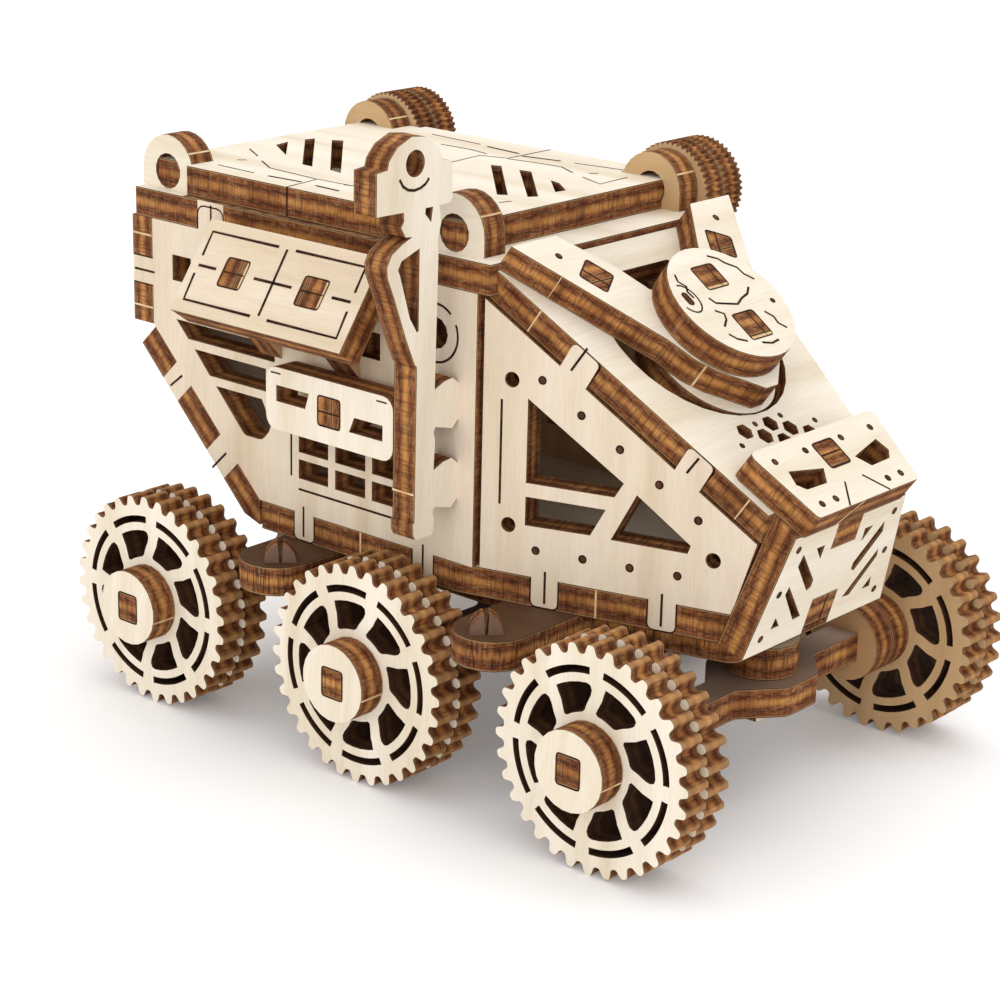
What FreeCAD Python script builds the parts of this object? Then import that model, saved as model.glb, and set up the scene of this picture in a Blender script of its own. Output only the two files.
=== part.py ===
import FreeCAD, Part
import math
import os

os.makedirs("parts", exist_ok=True)
V = FreeCAD.Vector

# Millimetres. +X is forward, +Y is the buggy's left side, Z=0 is the ground.
# Everything is cut from one sheet, so PLY is the size that most others follow.
PLY = 4.0

# wheels and axles
WHEEL_R = 14.8
TEETH = 32
TOOTH_DEPTH = 1.25
TOOTH_PHASE = [3.0, 1.5, 1.5]
SPOKES = 8
SLOT_PHASE = [19.6, 7.2, 19.4]
AXLE_X = [-39.0, 0.0, 39.0]
BORE_R = 2.85
STUB_X, STUB_Z = 3.6, PLY
CAP_R = 5.2
CAP_OUT = 39.0
WHEEL_OUT = CAP_OUT - PLY
WHEEL_IN = WHEEL_OUT - 2 * PLY
COLLAR_IN = WHEEL_IN - 2 * PLY
SIDE_PLAY = 0.06

# heights, stacked a sheet at a time from the axle beams
BEAM_Z = WHEEL_R - PLY / 2
BOSS_Z = BEAM_Z + PLY
BOSS_R, BOSS_H = 4.7, PLY + 0.4
UNDER_Z = BOSS_Z + BOSS_H
FLOOR_Z = UNDER_Z + PLY
DECK_Z = FLOOR_Z + PLY
ROOF_Z = 65.0
ROOF_TOP_Z = ROOF_Z + PLY
UPPER_Z = ROOF_TOP_Z + PLY

# body
HALF_W = 23.8
REAR_X = -53.6
WALL_END_X = 10.0
CHAMFER_OUT = -5.2
CHAMFER_IN = CHAMFER_OUT + PLY * math.sqrt(2)
RING_X = [-48.4, 4.2]
RING_Z = 71.45
RING_R, RING_HOLE_R = 5.0, 2.45
RING_Y = HALF_W - PLY - 2.0
KNOB_R, KNOB_TOOTH, KNOB_RIDGES = 6.7, 0.5, 24
KNOB_GAP = 0.3

# cab: its sides taper by TAPER for each millimetre forward
CAB_X, CAB_REAR = 7.6, 3.1
TAPER = 0.2634
SLOPE = math.radians(35.5)
SLOPE_C = 58.6
SLOPE_PLY = PLY - 0.15
SHIELD_S, SHIELD_R, SHIELD_FLAT = -13.1, 13.75, -25.1
DISC_S, DISC_R = -11.5, 9.3
LEAN = math.radians(16.25)
NOSE_X, NOSE_Z = 46.7, 24.8

# The knobs reach further back than the wheels reach forward, so the middle axle
# stands a little ahead of the origin, which is the centre of the whole box.
AHEAD = 0.66

# mast
MAST_X = 3.4
MAST_EYE_Y, MAST_EYE_Z, MAST_EYE_R = -32.35, 82.0, 1.66

made = {}


def keep(name, shape):
    if isinstance(shape, list):
        shape = Part.makeCompound(shape) if len(shape) > 1 else shape[0]
    made[name] = shape
    return shape


def rounded(pts):
    """Points of an outline given as (u, v) or (u, v, r) corners, r rounding that corner."""
    n = len(pts)
    out = []
    for i in range(n):
        p = V(pts[i][0], pts[i][1], 0)
        r = pts[i][2] if len(pts[i]) > 2 else 0
        if r <= 0:
            out.append(p)
            continue
        a = V(pts[i - 1][0], pts[i - 1][1], 0) - p
        b = V(pts[(i + 1) % n][0], pts[(i + 1) % n][1], 0) - p
        half = a.getAngle(b) / 2
        reach = min(r / math.tan(half), a.Length * 0.48, b.Length * 0.48)
        r = reach * math.tan(half)
        a.normalize()
        b.normalize()
        centre = p + (a + b).normalize() * (r / math.sin(half))
        start = p + a * reach - centre
        stop = p + b * reach - centre
        sweep = math.pi - 2 * half
        steps = 1 if r < 0.5 else 2 if r < 1.6 else 4
        for k in range(steps + 1):
            t = k / steps
            swing = start * math.sin((1 - t) * sweep) + stop * math.sin(t * sweep)
            out.append(centre + swing * (1 / math.sin(sweep)))
    return out


def round_pts(u, v, r, sides, turn=0.0):
    """A round cut in short straight steps."""
    step = 2 * math.pi / sides
    return [(u + r * math.cos((k + turn) * step), v + r * math.sin((k + turn) * step)) for k in range(sides)]


def face(pts):
    pts = rounded(pts)
    return Part.Face(Part.makePolygon(pts + [pts[0]]))


def sheet(outline, holes=(), depth=PLY):
    """Flat piece in XY, from 0 up to depth, with its holes cut through."""
    body = face(outline).extrude(V(0, 0, depth))
    cuts = []
    for h in holes:
        tool = face(h).extrude(V(0, 0, depth + 2))
        tool.translate(V(0, 0, -1))
        cuts.append(tool)
    return body.cut(cuts) if cuts else body


def largest(shape):
    return max(shape.Solids, key=lambda solid: solid.Volume)


def stand(shape, origin, u, v):
    """Turn a flat piece so its u and v run along the given directions."""
    u = V(*u).normalize()
    v = V(*v).normalize()
    n = u.cross(v)
    turn = FreeCAD.Rotation(u, v, n, "ZXY")
    shape = shape.copy()
    shape.Placement = FreeCAD.Placement(V(*origin), turn).multiply(shape.Placement)
    return shape


def box(x0, x1, y0, y1, z0, z1):
    return Part.makeBox(x1 - x0, y1 - y0, z1 - z0, V(x0, y0, z0))


def other_side(shape):
    return shape.mirror(V(0, 0, 0), V(0, 1, 0))


def rect(u0, u1, v0, v1, r=0):
    return [(u0, v0, r), (u1, v0, r), (u1, v1, r), (u0, v1, r)]


def polar(r, deg):
    return (r * math.cos(math.radians(deg)), r * math.sin(math.radians(deg)))


# Wheel discs: u along +X and v up, extruded outwards. The inner disc is turned
# half a tooth so the two rows of teeth alternate. Its windows are plain, as they
# show only through the leaning ones of the outer disc.
def toothed_disc(axle, outer):
    pitch = 360.0 / TEETH
    shift = TOOTH_PHASE[axle] + (0 if outer else pitch / 2)
    pts = []
    for i in range(TEETH):
        c = 90 + shift + i * pitch
        pts.append(polar(WHEEL_R - TOOTH_DEPTH, c - pitch / 2))
        pts.append(polar(WHEEL_R, c))
    holes = [round_pts(0, 0, BORE_R, 16)]
    for i in range(SPOKES):
        c = SLOT_PHASE[axle] + i * 360.0 / SPOKES
        if outer:
            window = [(10.0, 14), (10.1, -2), (9.9, -17.5), (6.3, -9), (6.4, 18.5)]
        else:
            window = [(9.9, 15), (9.9, -15), (6.0, 0)]
        holes.append([polar(r, c + a) for r, a in window])
    return sheet(pts, holes)


wheel_names = ["rear", "middle", "front"]
for axle, x in enumerate(AXLE_X):
    for side, sign in (("right", -1), ("left", 1)):
        tag = wheel_names[axle] + "_" + side
        outer = stand(toothed_disc(axle, True), (x, -(WHEEL_OUT - PLY), WHEEL_R), (1, 0, 0), (0, 0, 1))
        inner = stand(toothed_disc(axle, False), (x, -WHEEL_IN, WHEEL_R), (1, 0, 0), (0, 0, 1))
        if sign > 0:
            outer = other_side(outer)
            inner = other_side(inner)
        keep("tread_" + tag, outer)
        keep("tread_inner_" + tag, inner)

# Hub caps sit on the ends of the axle beams, collars inboard of the wheels.
STUB = rect(-STUB_X / 2, STUB_X / 2, -STUB_Z / 2, STUB_Z / 2)


def stub_pair(x, y_in, y_out):
    right = sheet(round_pts(0, 0, CAP_R, 24, 0.5), [STUB], depth=y_out - y_in)
    right = stand(right, (x, -y_in, WHEEL_R), (1, 0, 0), (0, 0, 1))
    return [right, other_side(right)]


for axle, x in enumerate(AXLE_X):
    keep("hub_caps_" + wheel_names[axle], stub_pair(x, WHEEL_OUT + SIDE_PLAY, CAP_OUT))
    keep("axle_collars_" + wheel_names[axle], stub_pair(x, COLLAR_IN, WHEEL_IN - SIDE_PLAY))

# Axle beams: a flat piece across the buggy with a lobe under the boss, its ends
# narrowed to the stubs that the wheels turn on.
ARM, LOBE_X, LOBE_Y = 2.2, 6.6, 8.6
for axle, x in enumerate(AXLE_X):
    tip = STUB_X / 2
    half = [(tip, -CAP_OUT), (tip, -COLLAR_IN), (ARM, -COLLAR_IN), (ARM, -LOBE_Y, 2), (LOBE_X, -3.2, 2.5)]
    half = half + [(u, -v) + tuple(rest) for u, v, *rest in reversed(half)]
    outline = half + [(-u, -v) + tuple(rest) for u, v, *rest in half]
    beam = sheet(outline)
    beam.translate(V(x, 0, BEAM_Z))
    keep("axle_beam_" + wheel_names[axle], beam)

# Boss discs between the beams and the underfloor, with a square pin under each.
PIN = 4.0
bosses = []
pins = []
for x in AXLE_X:
    boss = sheet(round_pts(x, 0, BOSS_R, 24), depth=BOSS_H)
    boss.translate(V(0, 0, BOSS_Z))
    bosses.append(boss)
    pins.append(box(x - PIN / 2, x + PIN / 2, -3.5, 3.5, BEAM_Z - PLY / 2, BEAM_Z))
keep("axle_bosses", bosses)
keep("beam_pins", pins)

# Underfloor with its four ears, each with a pointed hole that a clip fills.
EAR_X, EAR_Y, EAR_R = 19.0, 30.0, 5.0
EAR_OUT = EAR_Y + EAR_R
under = sheet([(-45.0, -7.0, 3), (-30.0, -9.0), (-28, -16.5), (18, -16.5), (42.4, -11.0, 2),
               (42.4, 11.0, 2), (18, 16.5), (-28, 16.5), (-30.0, 9.0), (-45.0, 7.0, 3)])
spear = [(-2.0, 0.2), (0.0, -0.5), (2.0, 0.2), (1.9, 3.0), (0.0, 6.9), (-1.9, 3.0)]
clips = []
holes = []
for x, base_x, base_y in ((-EAR_X, -17.9, -30.15), (EAR_X, 18.95, -30.9)):
    ear = sheet([(x - EAR_R, -EAR_OUT, EAR_R), (x + EAR_R, -EAR_OUT, EAR_R), (x + EAR_R, -15.0), (x - EAR_R, -15.0)])
    under = under.fuse([ear, other_side(ear)])
    for depth, pieces in ((PLY - 0.2, clips), (PLY, holes)):
        piece = sheet(spear, depth=depth)
        piece.rotate(V(0, 0, 0), V(0, 0, 1), 45)
        piece.translate(V(base_x, base_y, 0))
        pieces.extend([piece, other_side(piece)])
under = under.removeSplitter().cut(holes)
for piece in [under] + clips:
    piece.translate(V(0, 0, UNDER_Z))
keep("ear_clips", clips)


# Planes that the nose is built on: the front plate leans, its outer face through
# NOSE_X at NOSE_Z, and pieces that meet it end at its inner or its outer face.
rise = V(math.sin(LEAN), 0, math.cos(LEAN))
ahead = V(math.cos(LEAN), 0, -math.sin(LEAN))
nose_in = V(NOSE_X, 0, NOSE_Z) - ahead * PLY


def beyond(depth):
    """All that lies further forward than depth into the front plate."""
    block = sheet(rect(-40, 40, -20, 40), depth=40)
    return stand(block, tuple(nose_in + ahead * depth), (0, 1, 0), tuple(rise))


# Floor plate, notched for the wall and cab tabs, with a tab through the nose.
WALL_TABS = [(-22.1, -18.3), (-0.4, 3.4)]
CAB_TABS = [(10.3, 14.2), (26.4, 30.3)]
CAB_TOP_TABS = [(13.5, 17.0), (29.2, 32.5)]
nose_half = HALF_W - 42.4 * TAPER
floor = sheet([(-28.3, -HALF_W), (CAB_X, -HALF_W), (CAB_X + 42.4, -nose_half),
               (CAB_X + 42.4, nose_half), (CAB_X, HALF_W), (-28.3, HALF_W)])
floor.translate(V(0, 0, FLOOR_Z))
floor_tab = box(40, 52, -2.8, 2.8, FLOOR_Z, DECK_Z).cut(beyond(PLY))
floor = floor.cut(beyond(0)).fuse(floor_tab).removeSplitter()

# Cab sides stand on the floor's tapered edges.
run = V(1, TAPER, 0).normalize()


def slope_z(x):
    return (SLOPE_C - x * math.sin(SLOPE)) / math.cos(SLOPE)


def along(a):
    return CAB_X + a * run.x


def cab_top(a):
    return (a, slope_z(along(a)))


lift = V(math.sin(SLOPE) * run.x, math.cos(SLOPE), 0)
lift = lift * (SLOPE_PLY / lift.Length ** 2)
cab_outline = [(CAB_REAR, DECK_Z)]
for a0, a1 in CAB_TABS:
    cab_outline += [(a0, DECK_Z), (a0, FLOOR_Z, 0.7), (a1, FLOOR_Z, 0.7), (a1, DECK_Z)]
cab_outline += [(46.0, DECK_Z), cab_top(46.0)]
for a0, a1 in reversed(CAB_TOP_TABS):
    lo0, lo1 = cab_top(a0), cab_top(a1)
    cab_outline += [lo1, (lo1[0] + lift.x, lo1[1] + lift.y, 0.7), (lo0[0] + lift.x, lo0[1] + lift.y, 0.7), lo0]
cab_outline.append(cab_top(CAB_REAR))
cab_holes = [[(9.3, 52.5, 0.6), (22.6, 43.6, 0.5), (21.4, 41.6, 0.5), (9.3, 41.5, 0.6)],
             [(9.3, 39.7, 0.5), (20.3, 39.8, 0.5), (18.3, 36.1, 0.5), (9.3, 35.9, 0.5)],
             [(24.4, 42.4, 0.5), (31.8, 37.1, 0.7), (31.4, 36.0, 0.5), (21.1, 36.0, 0.5)],
             round_pts(7.05, 54.6, 1.0, 8), round_pts(7.0, 35.6, 1.0, 8), round_pts(34.8, 35.7, 1.0, 8)]
# extruded towards the outside, then set so its outer face is on the taper line
cab_r = stand(sheet(cab_outline, cab_holes), (CAB_X, -HALF_W, 0), (run.x, run.y, 0), (0, 0, 1))
inward = V(0, 0, 1).cross(V(run.x, run.y, 0)).normalize()
cab_r.translate(inward * PLY)
cab_r = cab_r.cut(beyond(0))

# Side walls of the rear body.
wall_outline = [(CHAMFER_IN - DECK_Z, DECK_Z), (WALL_END_X, DECK_Z), (WALL_END_X, ROOF_Z),
                (REAR_X + PLY, ROOF_Z), (REAR_X + PLY, CHAMFER_IN - REAR_X - PLY)]
wall_holes = [[(-45.0, 51.6), (-42.6, 49.2), (-25.7, 49.2), (-25.7, 51.6)],
              [(-41.4, 48.0), (-38.4, 44.8), (-27.4, 44.8), (-27.4, 48.0)],
              [(-37.2, 43.6), (-31.6, 37.8, 1.0), (-28.2, 37.8, 1.5), (-26.2, 40.0, 1.5), (-28.2, 43.6)],
              rect(-45.6, -41.9, 57.0, 60.6), rect(-10.1, -6.4, 53.2, 56.8), round_pts(3.1, 58.8, 2.1, 12)]
for x0, x1 in ((-21.2, -15.7), (-14.4, -8.9), (-7.7, -3.4)):
    for z0, z1 in ((34.0, 36.7), (37.7, 40.6)):
        wall_holes.append(rect(x0, x1, z0, z1))
wall = sheet(wall_outline, wall_holes)
tabs = [sheet([(a, DECK_Z), (a, FLOOR_Z, 0.7), (b, FLOOR_Z, 0.7), (b, DECK_Z)]) for a, b in WALL_TABS]
tabs.append(sheet(rect(-40.4, -35.4, ROOF_Z, ROOF_TOP_Z)))
tabs.append(sheet(rect(REAR_X, REAR_X + PLY, 55.5, 59.4)))
for u0, u1 in ((-64.0, -60.0), (-51.8, -47.0)):
    q = math.sqrt(0.5)
    a = [((u0 + w) * q, (w - u0) * q) for w in (CHAMFER_OUT * q, CHAMFER_IN * q)]
    b = [((u1 + w) * q, (w - u1) * q) for w in (CHAMFER_IN * q, CHAMFER_OUT * q)]
    tabs.append(sheet(a + b))
wall = wall.fuse(tabs).removeSplitter()
wall_r = stand(wall, (0, -HALF_W + PLY, 0), (1, 0, 0), (0, 0, 1))
wall_l = other_side(wall_r)
cab_r = cab_r.cut(wall_r)
cab_l = other_side(cab_r)
floor = floor.cut([wall_r, wall_l, cab_r, cab_l])
keep("cab_side_right", cab_r)
keep("cab_side_left", cab_l)
keep("floor_plate", floor)
keep("underfloor_plate", under)
keep("side_wall_right", wall_r)
keep("side_wall_left", wall_l)

# Rear wall and the chamfer plate below it.
rear = box(REAR_X, REAR_X + PLY, -HALF_W, HALF_W, CHAMFER_IN - REAR_X - PLY, ROOF_Z)
rear = rear.cut([wall_r, wall_l])
keep("rear_wall", rear)
q = math.sqrt(0.5)
u0, u1 = -70.0, -41.2
cham = sheet([((u0 + CHAMFER_OUT * q) * q, (CHAMFER_OUT * q - u0) * q),
              ((u0 + CHAMFER_IN * q) * q, (CHAMFER_IN * q - u0) * q),
              (CHAMFER_IN - DECK_Z, DECK_Z), (CHAMFER_IN - DECK_Z, FLOOR_Z + 0.4),
              ((u1 + CHAMFER_OUT * q) * q, (CHAMFER_OUT * q - u1) * q)], depth=2 * HALF_W)
cham = stand(cham, (0, HALF_W, 0), (1, 0, 0), (0, 0, 1))
cham = cham.cut([wall_r, wall_l, rear, floor])
keep("chamfer_plate", cham)

# Roof: a full lower plate, and two upper plates meeting on a butt line.
# Its left edge is notched where the two knobs pass it.
def knob_space(x):
    space = sheet(round_pts(x, RING_Z, KNOB_R + KNOB_GAP, 24), depth=12)
    return stand(space, (0, RING_Y + PLY - KNOB_GAP + 12, 0), (1, 0, 0), (0, 0, 1))


notches = [knob_space(x) for x in RING_X]
roof = box(-52.8, 12.0, -HALF_W, HALF_W, ROOF_Z, ROOF_TOP_Z)
roof = roof.cut([wall_r, wall_l, cab_r, cab_l] + notches)
keep("side_wall_left", wall_l.cut(notches))
keep("rear_wall", rear.cut(notches))
SPLIT_X = -24.4
UPPER_Y = HALF_W - 1.1
# slanted cut-outs, the same in both halves but turned half way round
slants = [[(-16.9, 9.0), (-14.3, 9.0), (-0.5, -5.5), (-2.2, -6.0)],
          [(-11.6, 9.2), (-9.2, 9.2), (1.3, -2.8), (0.1, -2.8)],
          [(-4.0, 6.8), (-1.8, 5.0), (1.3, 2.7), (1.3, 1.2)]]
turned = [[(-44.7 - u, -0.9 - v) for u, v in pts] for pts in slants]
rear_up = sheet([(-46.3, -UPPER_Y), (SPLIT_X, -UPPER_Y), (SPLIT_X, UPPER_Y), (-46.3, UPPER_Y)], turned)
front_up = sheet([(SPLIT_X, -UPPER_Y), (2.1, -UPPER_Y), (2.1, UPPER_Y), (SPLIT_X, UPPER_Y)], slants)
for s in (rear_up, front_up):
    s.translate(V(0, 0, ROOF_TOP_Z))
keep("roof_lower", roof)

# Ring ears carry square cross shafts with a knob on the left side of each.
SHAFT = PLY
rings = {}
for tag, x in zip(("rear", "front"), RING_X):
    outline = [(x - RING_R, ROOF_TOP_Z), (x + RING_R, ROOF_TOP_Z)]
    outline += [(x + polar(RING_R, a)[0], RING_Z + polar(RING_R, a)[1]) for a in range(0, 181, 15)]
    hole = round_pts(x, RING_Z, RING_HOLE_R, 16, 0.5)
    ring = stand(sheet(outline, [hole]), (0, -RING_Y, 0), (1, 0, 0), (0, 0, 1))
    pair = [ring, other_side(ring)]
    rings[tag] = pair
    keep("shaft_rings_" + tag, pair)
    # the shaft's ends are rounded off where they pass through the rings
    h = SHAFT / 2
    shaft = box(x - h, x + h, -RING_Y, RING_Y, RING_Z - h, RING_Z + h)
    stub = sheet([(-h, -1.3), (-1.3, -h), (1.3, -h), (h, -1.3), (h, 1.3), (1.3, h), (-1.3, h), (-h, 1.3)],
                 depth=2 * RING_Y + 3 * PLY + 2.4)
    stub = stand(stub, (x, RING_Y + 2 * PLY + 3.4, RING_Z), (1, 0, 0), (0, 0, 1))
    shaft = shaft.fuse(stub).removeSplitter()
    keep("cross_shaft_" + tag, shaft)
    pts = []
    for i in range(KNOB_RIDGES):
        pts.append(polar(KNOB_R - KNOB_TOOTH, (i + 0.5) * 360 / KNOB_RIDGES))
        pts.append(polar(KNOB_R, (i + 1.0) * 360 / KNOB_RIDGES))
    knob = sheet(pts, depth=2 * PLY)
    knob = stand(knob, (x, RING_Y + PLY + 2 * PLY, RING_Z), (1, 0, 0), (0, 0, 1))
    keep("knob_" + tag, knob.cut(shaft))
for s in ("rear", "front"):
    pads = [p for p in rings[s]]
    rear_up = rear_up.cut(pads + notches + [made["cross_shaft_" + s]])
    front_up = front_up.cut(pads + notches + [made["cross_shaft_" + s]])
keep("roof_upper_rear", rear_up)
keep("roof_upper_front", front_up)

# Sloped deck: s runs down the slope, y across, c is the height off the cab edge.
down = V(math.cos(SLOPE), 0, -math.sin(SLOPE))
up = V(math.sin(SLOPE), 0, math.cos(SLOPE))


def on_slope(shape, level):
    """Flat piece with u down the slope and v to the left, on sheet number level."""
    return stand(shape, tuple(up * (SLOPE_C + level * SLOPE_PLY)), tuple(down), (0, 1, 0))


def slope_sheet(outline, holes=(), level=0):
    return on_slope(sheet(outline, holes, depth=SLOPE_PLY), level)


def both(pts):
    """Outline given on one side, mirrored to the other; (s, y) from top to bottom."""
    return pts + [(p[0], -p[1]) + tuple(p[2:]) for p in reversed(pts)]


def shield_half(s):
    """Half the windshield's width, flush with the cab's outer faces at its top face."""
    x = s * math.cos(SLOPE) + (SLOPE_C + SLOPE_PLY) * math.sin(SLOPE)
    return HALF_W - 0.1 - (x - CAB_X) * TAPER


keepers = [made["roof_lower"], front_up, made["cross_shaft_front"]] + rings["front"]

# The windshield has a round opening with one flat edge, six small hexagons above
# the nose cap, and a tab that goes through the top of the nose.
opening = [(s, y) for s, y in round_pts(SHIELD_S, 0, SHIELD_R, 32, 0.5) if s > SHIELD_FLAT]
flat_y = math.sqrt(SHIELD_R ** 2 - (SHIELD_FLAT - SHIELD_S) ** 2)
opening = sorted(opening, key=lambda p: math.atan2(p[1], p[0] - SHIELD_S))
opening = [(SHIELD_FLAT, -flat_y)] + opening + [(SHIELD_FLAT, flat_y)]
hexagons = [(2.4, -5.4), (2.5, -0.1), (3.9, -2.7), (4.0, 2.6), (5.4, 0.0), (5.5, 5.4)]
shield_holes = [opening] + [round_pts(s, y, 1.27, 6, 0.5) for s, y in hexagons]
shield = slope_sheet(both([(-29.7, shield_half(-29.7)), (22.0, shield_half(22.0))]), shield_holes)
shield = shield.cut(beyond(0))
shield_tab = slope_sheet(rect(12.0, 24.0, -2.7, 2.7)).cut(beyond(PLY))
shield = shield.fuse(shield_tab).removeSplitter()
shield = largest(shield.cut(keepers + [cab_r, cab_l, wall_r, wall_l]))
keep("windshield_plate", shield)

# Fork plate: two arms from the roof that join under the disc.
ARM_TURN = math.atan2(-12.0, 19.0)
fork_slots = []
for side in (-1, 1):
    c, w = math.cos(ARM_TURN), math.sin(ARM_TURN)
    square = [(-2.0, -2.0), (2.0, -2.0), (2.0, 2.0), (-2.0, 2.0)]
    fork_slots.append([(-22.8 + u * c - v * w, side * (12.9 + u * w + v * c)) for u, v in square])
inner_edge = [(-17.0, 2.0), (-18.9, 6.2), (-23.3, 8.5, 1.0), (-30.1, 13.8)]
outer_edge = [(-30.1, 22.3), (-11.1, 10.3, 1.5), (-7.2, 8.7), (-4.8, 6.7), (-2.9, 4.3, 0.6), (-0.4, 1.2)]
fork = slope_sheet(both(inner_edge + outer_edge), fork_slots, level=1)
fork = largest(fork.cut(keepers + [cab_r, cab_l]))
keep("fork_plate", fork)

# The disc on top, the nose cap lower down, and the end-grain pegs in their slots.
disc_slots = [rect(-17.8, -14.0, -2.15, 2.15), rect(-9.6, -5.3, -2.15, 2.15)]
keep("globe_disc", slope_sheet(round_pts(DISC_S, 0, DISC_R, 36), disc_slots, level=2))
cap_slot = rect(9.05, 13.05, -2.1, 2.1)
pentagon = [(11.35, 9.5), (12.6, 3.4), (14.6, 4.9), (14.5, 9.0), (13.4, 10.1)]
nose_holes = [cap_slot, pentagon, [(s, -y) for s, y in pentagon]]
nose = slope_sheet(both([(7.25, 13.35, 0.9), (18.55, 10.95, 0.5)]), nose_holes, level=1)
keep("nose_cap", nose)
pegs = [slope_sheet(slot, level=1) for slot in fork_slots + [cap_slot]]
pegs += [slope_sheet(slot, level=2) for slot in disc_slots]
keep("slope_pegs", pegs)

# Nose front plate leans forward under the cap and is cut where tabs pass it.
front_pts = [(-15.2, -0.6), (15.2, -0.6), (11.8, 17.4), (-11.8, 17.4)]
cuts = [[(6.2, 13.1), (4.4, 13.1), (4.5, 11.1)], [(10.5, 4.2), (10.9, 2.6), (9.1, 2.6)],
        [(9.3, 11.3), (8.9, 13.0), (4.4, 8.0), (4.4, 7.0), (5.2, 6.6)],
        [(10.1, 7.4), (9.8, 8.6), (4.6, 2.7), (6.2, 2.6)]]
cuts += [[(-u, v) for u, v in pts] for pts in cuts]
front = stand(sheet(front_pts, cuts), tuple(nose_in), (0, 1, 0), tuple(rise))
over_shield = slope_sheet(rect(0, 40, -30, 30), level=1)
front = front.cut([over_shield, shield, floor, box(40, 52, -2.8, 2.8, UNDER_Z - 2, FLOOR_Z + 0.1)])
keep("nose_front", largest(front))

# Mast plate on the right side, normal to X; (y, z) outline. Its two hooks meet the wall.
head = [(-39.0, 76.4), (-39.0, 81.6), (-37.2, 81.8), (-36.9, 82.8), (-35.5, 84.3), (-33.0, 85.3),
        (-30.5, 85.0), (-28.3, 83.5), (-27.5, 81.9), (-25.8, 81.5), (-25.6, 77.0), (-26.0, 76.4)]
hook = [(-28.3, 0.0), (-26.5, 0.7), (-25.0, 0.9), (-HALF_W, 0.0), (-HALF_W, -4.7), (-24.9, -5.7),
        (-28.1, -4.9), (-28.4, -5.5), (-28.1, -6.6)]
right_edge = [(-27.9, 76.3), (-27.6, 74.0), (-28.2, 72.0), (-28.0, 69.8)]
right_edge += [(y, 53.1 + z) for y, z in hook] + [(y, 42.6 + z) for y, z in hook]
foot = [(-28.1, 34.6), (-28.5, 34.1), (-31.5, 34.1), (-31.9, 34.8), (-32.0, 36.3), (-31.7, 36.4)]
bow = [(-31.6, 56.6), (-32.0, 57.0), (-33.6, 60.5), (-35.8, 66.0), (-37.0, 68.7), (-37.1, 70.0),
       (-36.3, 71.4), (-34.5, 72.4)]
neck = [(-32.7, 73.1), (-33.9, 73.2), (-34.7, 74.5), (-34.2, 75.2), (-34.3, 76.3)]
mast_holes = [[(-31.4, 71.5), (-34.6, 70.4), (-35.2, 69.4), (-34.8, 68.5), (-33.0, 63.0), (-31.7, 61.0), (-31.4, 61.2)],
              [(-30.4, 76.3), (-29.1, 76.3), (-29.4, 74.4), (-30.5, 75.6)]]
mast = sheet(head + right_edge + foot + bow + neck, mast_holes, depth=PLY - 0.2)
mast = stand(mast, (MAST_X, 0, 0), (0, 1, 0), (0, 0, 1))
eye = Part.makeCylinder(MAST_EYE_R, PLY + 2, V(MAST_X - 1, MAST_EYE_Y, MAST_EYE_Z), V(1, 0, 0))
keep("mast", mast.cut(eye))

# Side panels: one hung at a tilt off the wall on two brackets whose pegs come
# through it, one standing off lower down on a post.
TILT = math.radians(35.0)
out_dn = V(0, -math.sin(TILT), -math.cos(TILT))
out = V(0, -math.cos(TILT), math.sin(TILT))
PEG_X = [(-28.4, -24.3), (-14.2, -9.9)]
PEG_D = (4.0, 8.1)
panel = sheet(rect(-34.5, -3.4, -0.6, 12.8), [rect(a, b, *PEG_D) for a, b in PEG_X])
# u x v points inwards here, so the sheet is set out by its own thickness
panel = stand(panel, tuple(V(0, -HALF_W, ROOF_Z) + out * PLY), (1, 0, 0), tuple(out_dn))
panel = panel.cut([roof, wall_r])
brackets = []
for x0, x1 in PEG_X:
    arm = sheet([(-HALF_W, 64.0), (-HALF_W, 50.0), (-HALF_W - 5.2, 56.0)], depth=x1 - x0)
    arm = stand(arm, (x0, 0, 0), (0, 1, 0), (0, 0, 1))
    peg = sheet(rect(PEG_D[0], PEG_D[1], -1.0, PLY), depth=x1 - x0)
    peg = stand(peg, (x0, -HALF_W, ROOF_Z), tuple(out_dn), tuple(out))
    if peg.BoundBox.XMax < x0 + 0.1:
        peg.translate(V(x1 - x0, 0, 0))
    brackets.append(largest(arm.fuse(peg).removeSplitter().cut([panel, wall_r])))
keep("tilted_panel_right", largest(panel))
keep("tilted_panel_left", other_side(largest(panel)))
keep("panel_brackets_right", brackets)
keep("panel_brackets_left", [other_side(a) for a in brackets])

LOW_Y = HALF_W + 1.7
POST = rect(-12.0, -8.0, 44.7, 48.7)
low = sheet([(-21.5, 42.4, 1.8), (1.3, 42.4, 1.8), (1.3, 50.9, 1.8), (-21.5, 50.9, 1.8)],
            [[(-19.6, 48.5), (-13.6, 48.5), (-14.3, 46.3), (-19.6, 46.3)],
             [(-5.5, 47.0), (-0.5, 47.0), (-0.5, 44.9), (-6.4, 44.9)], POST])
low = stand(low, (0, -LOW_Y, 0), (1, 0, 0), (0, 0, 1))
post = stand(sheet(POST, depth=LOW_Y + PLY - HALF_W), (0, -HALF_W, 0), (1, 0, 0), (0, 0, 1))
keep("lower_panel_right", low)
keep("lower_panel_left", other_side(low))
keep("lower_post_right", post)
keep("lower_post_left", other_side(post))

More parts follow.
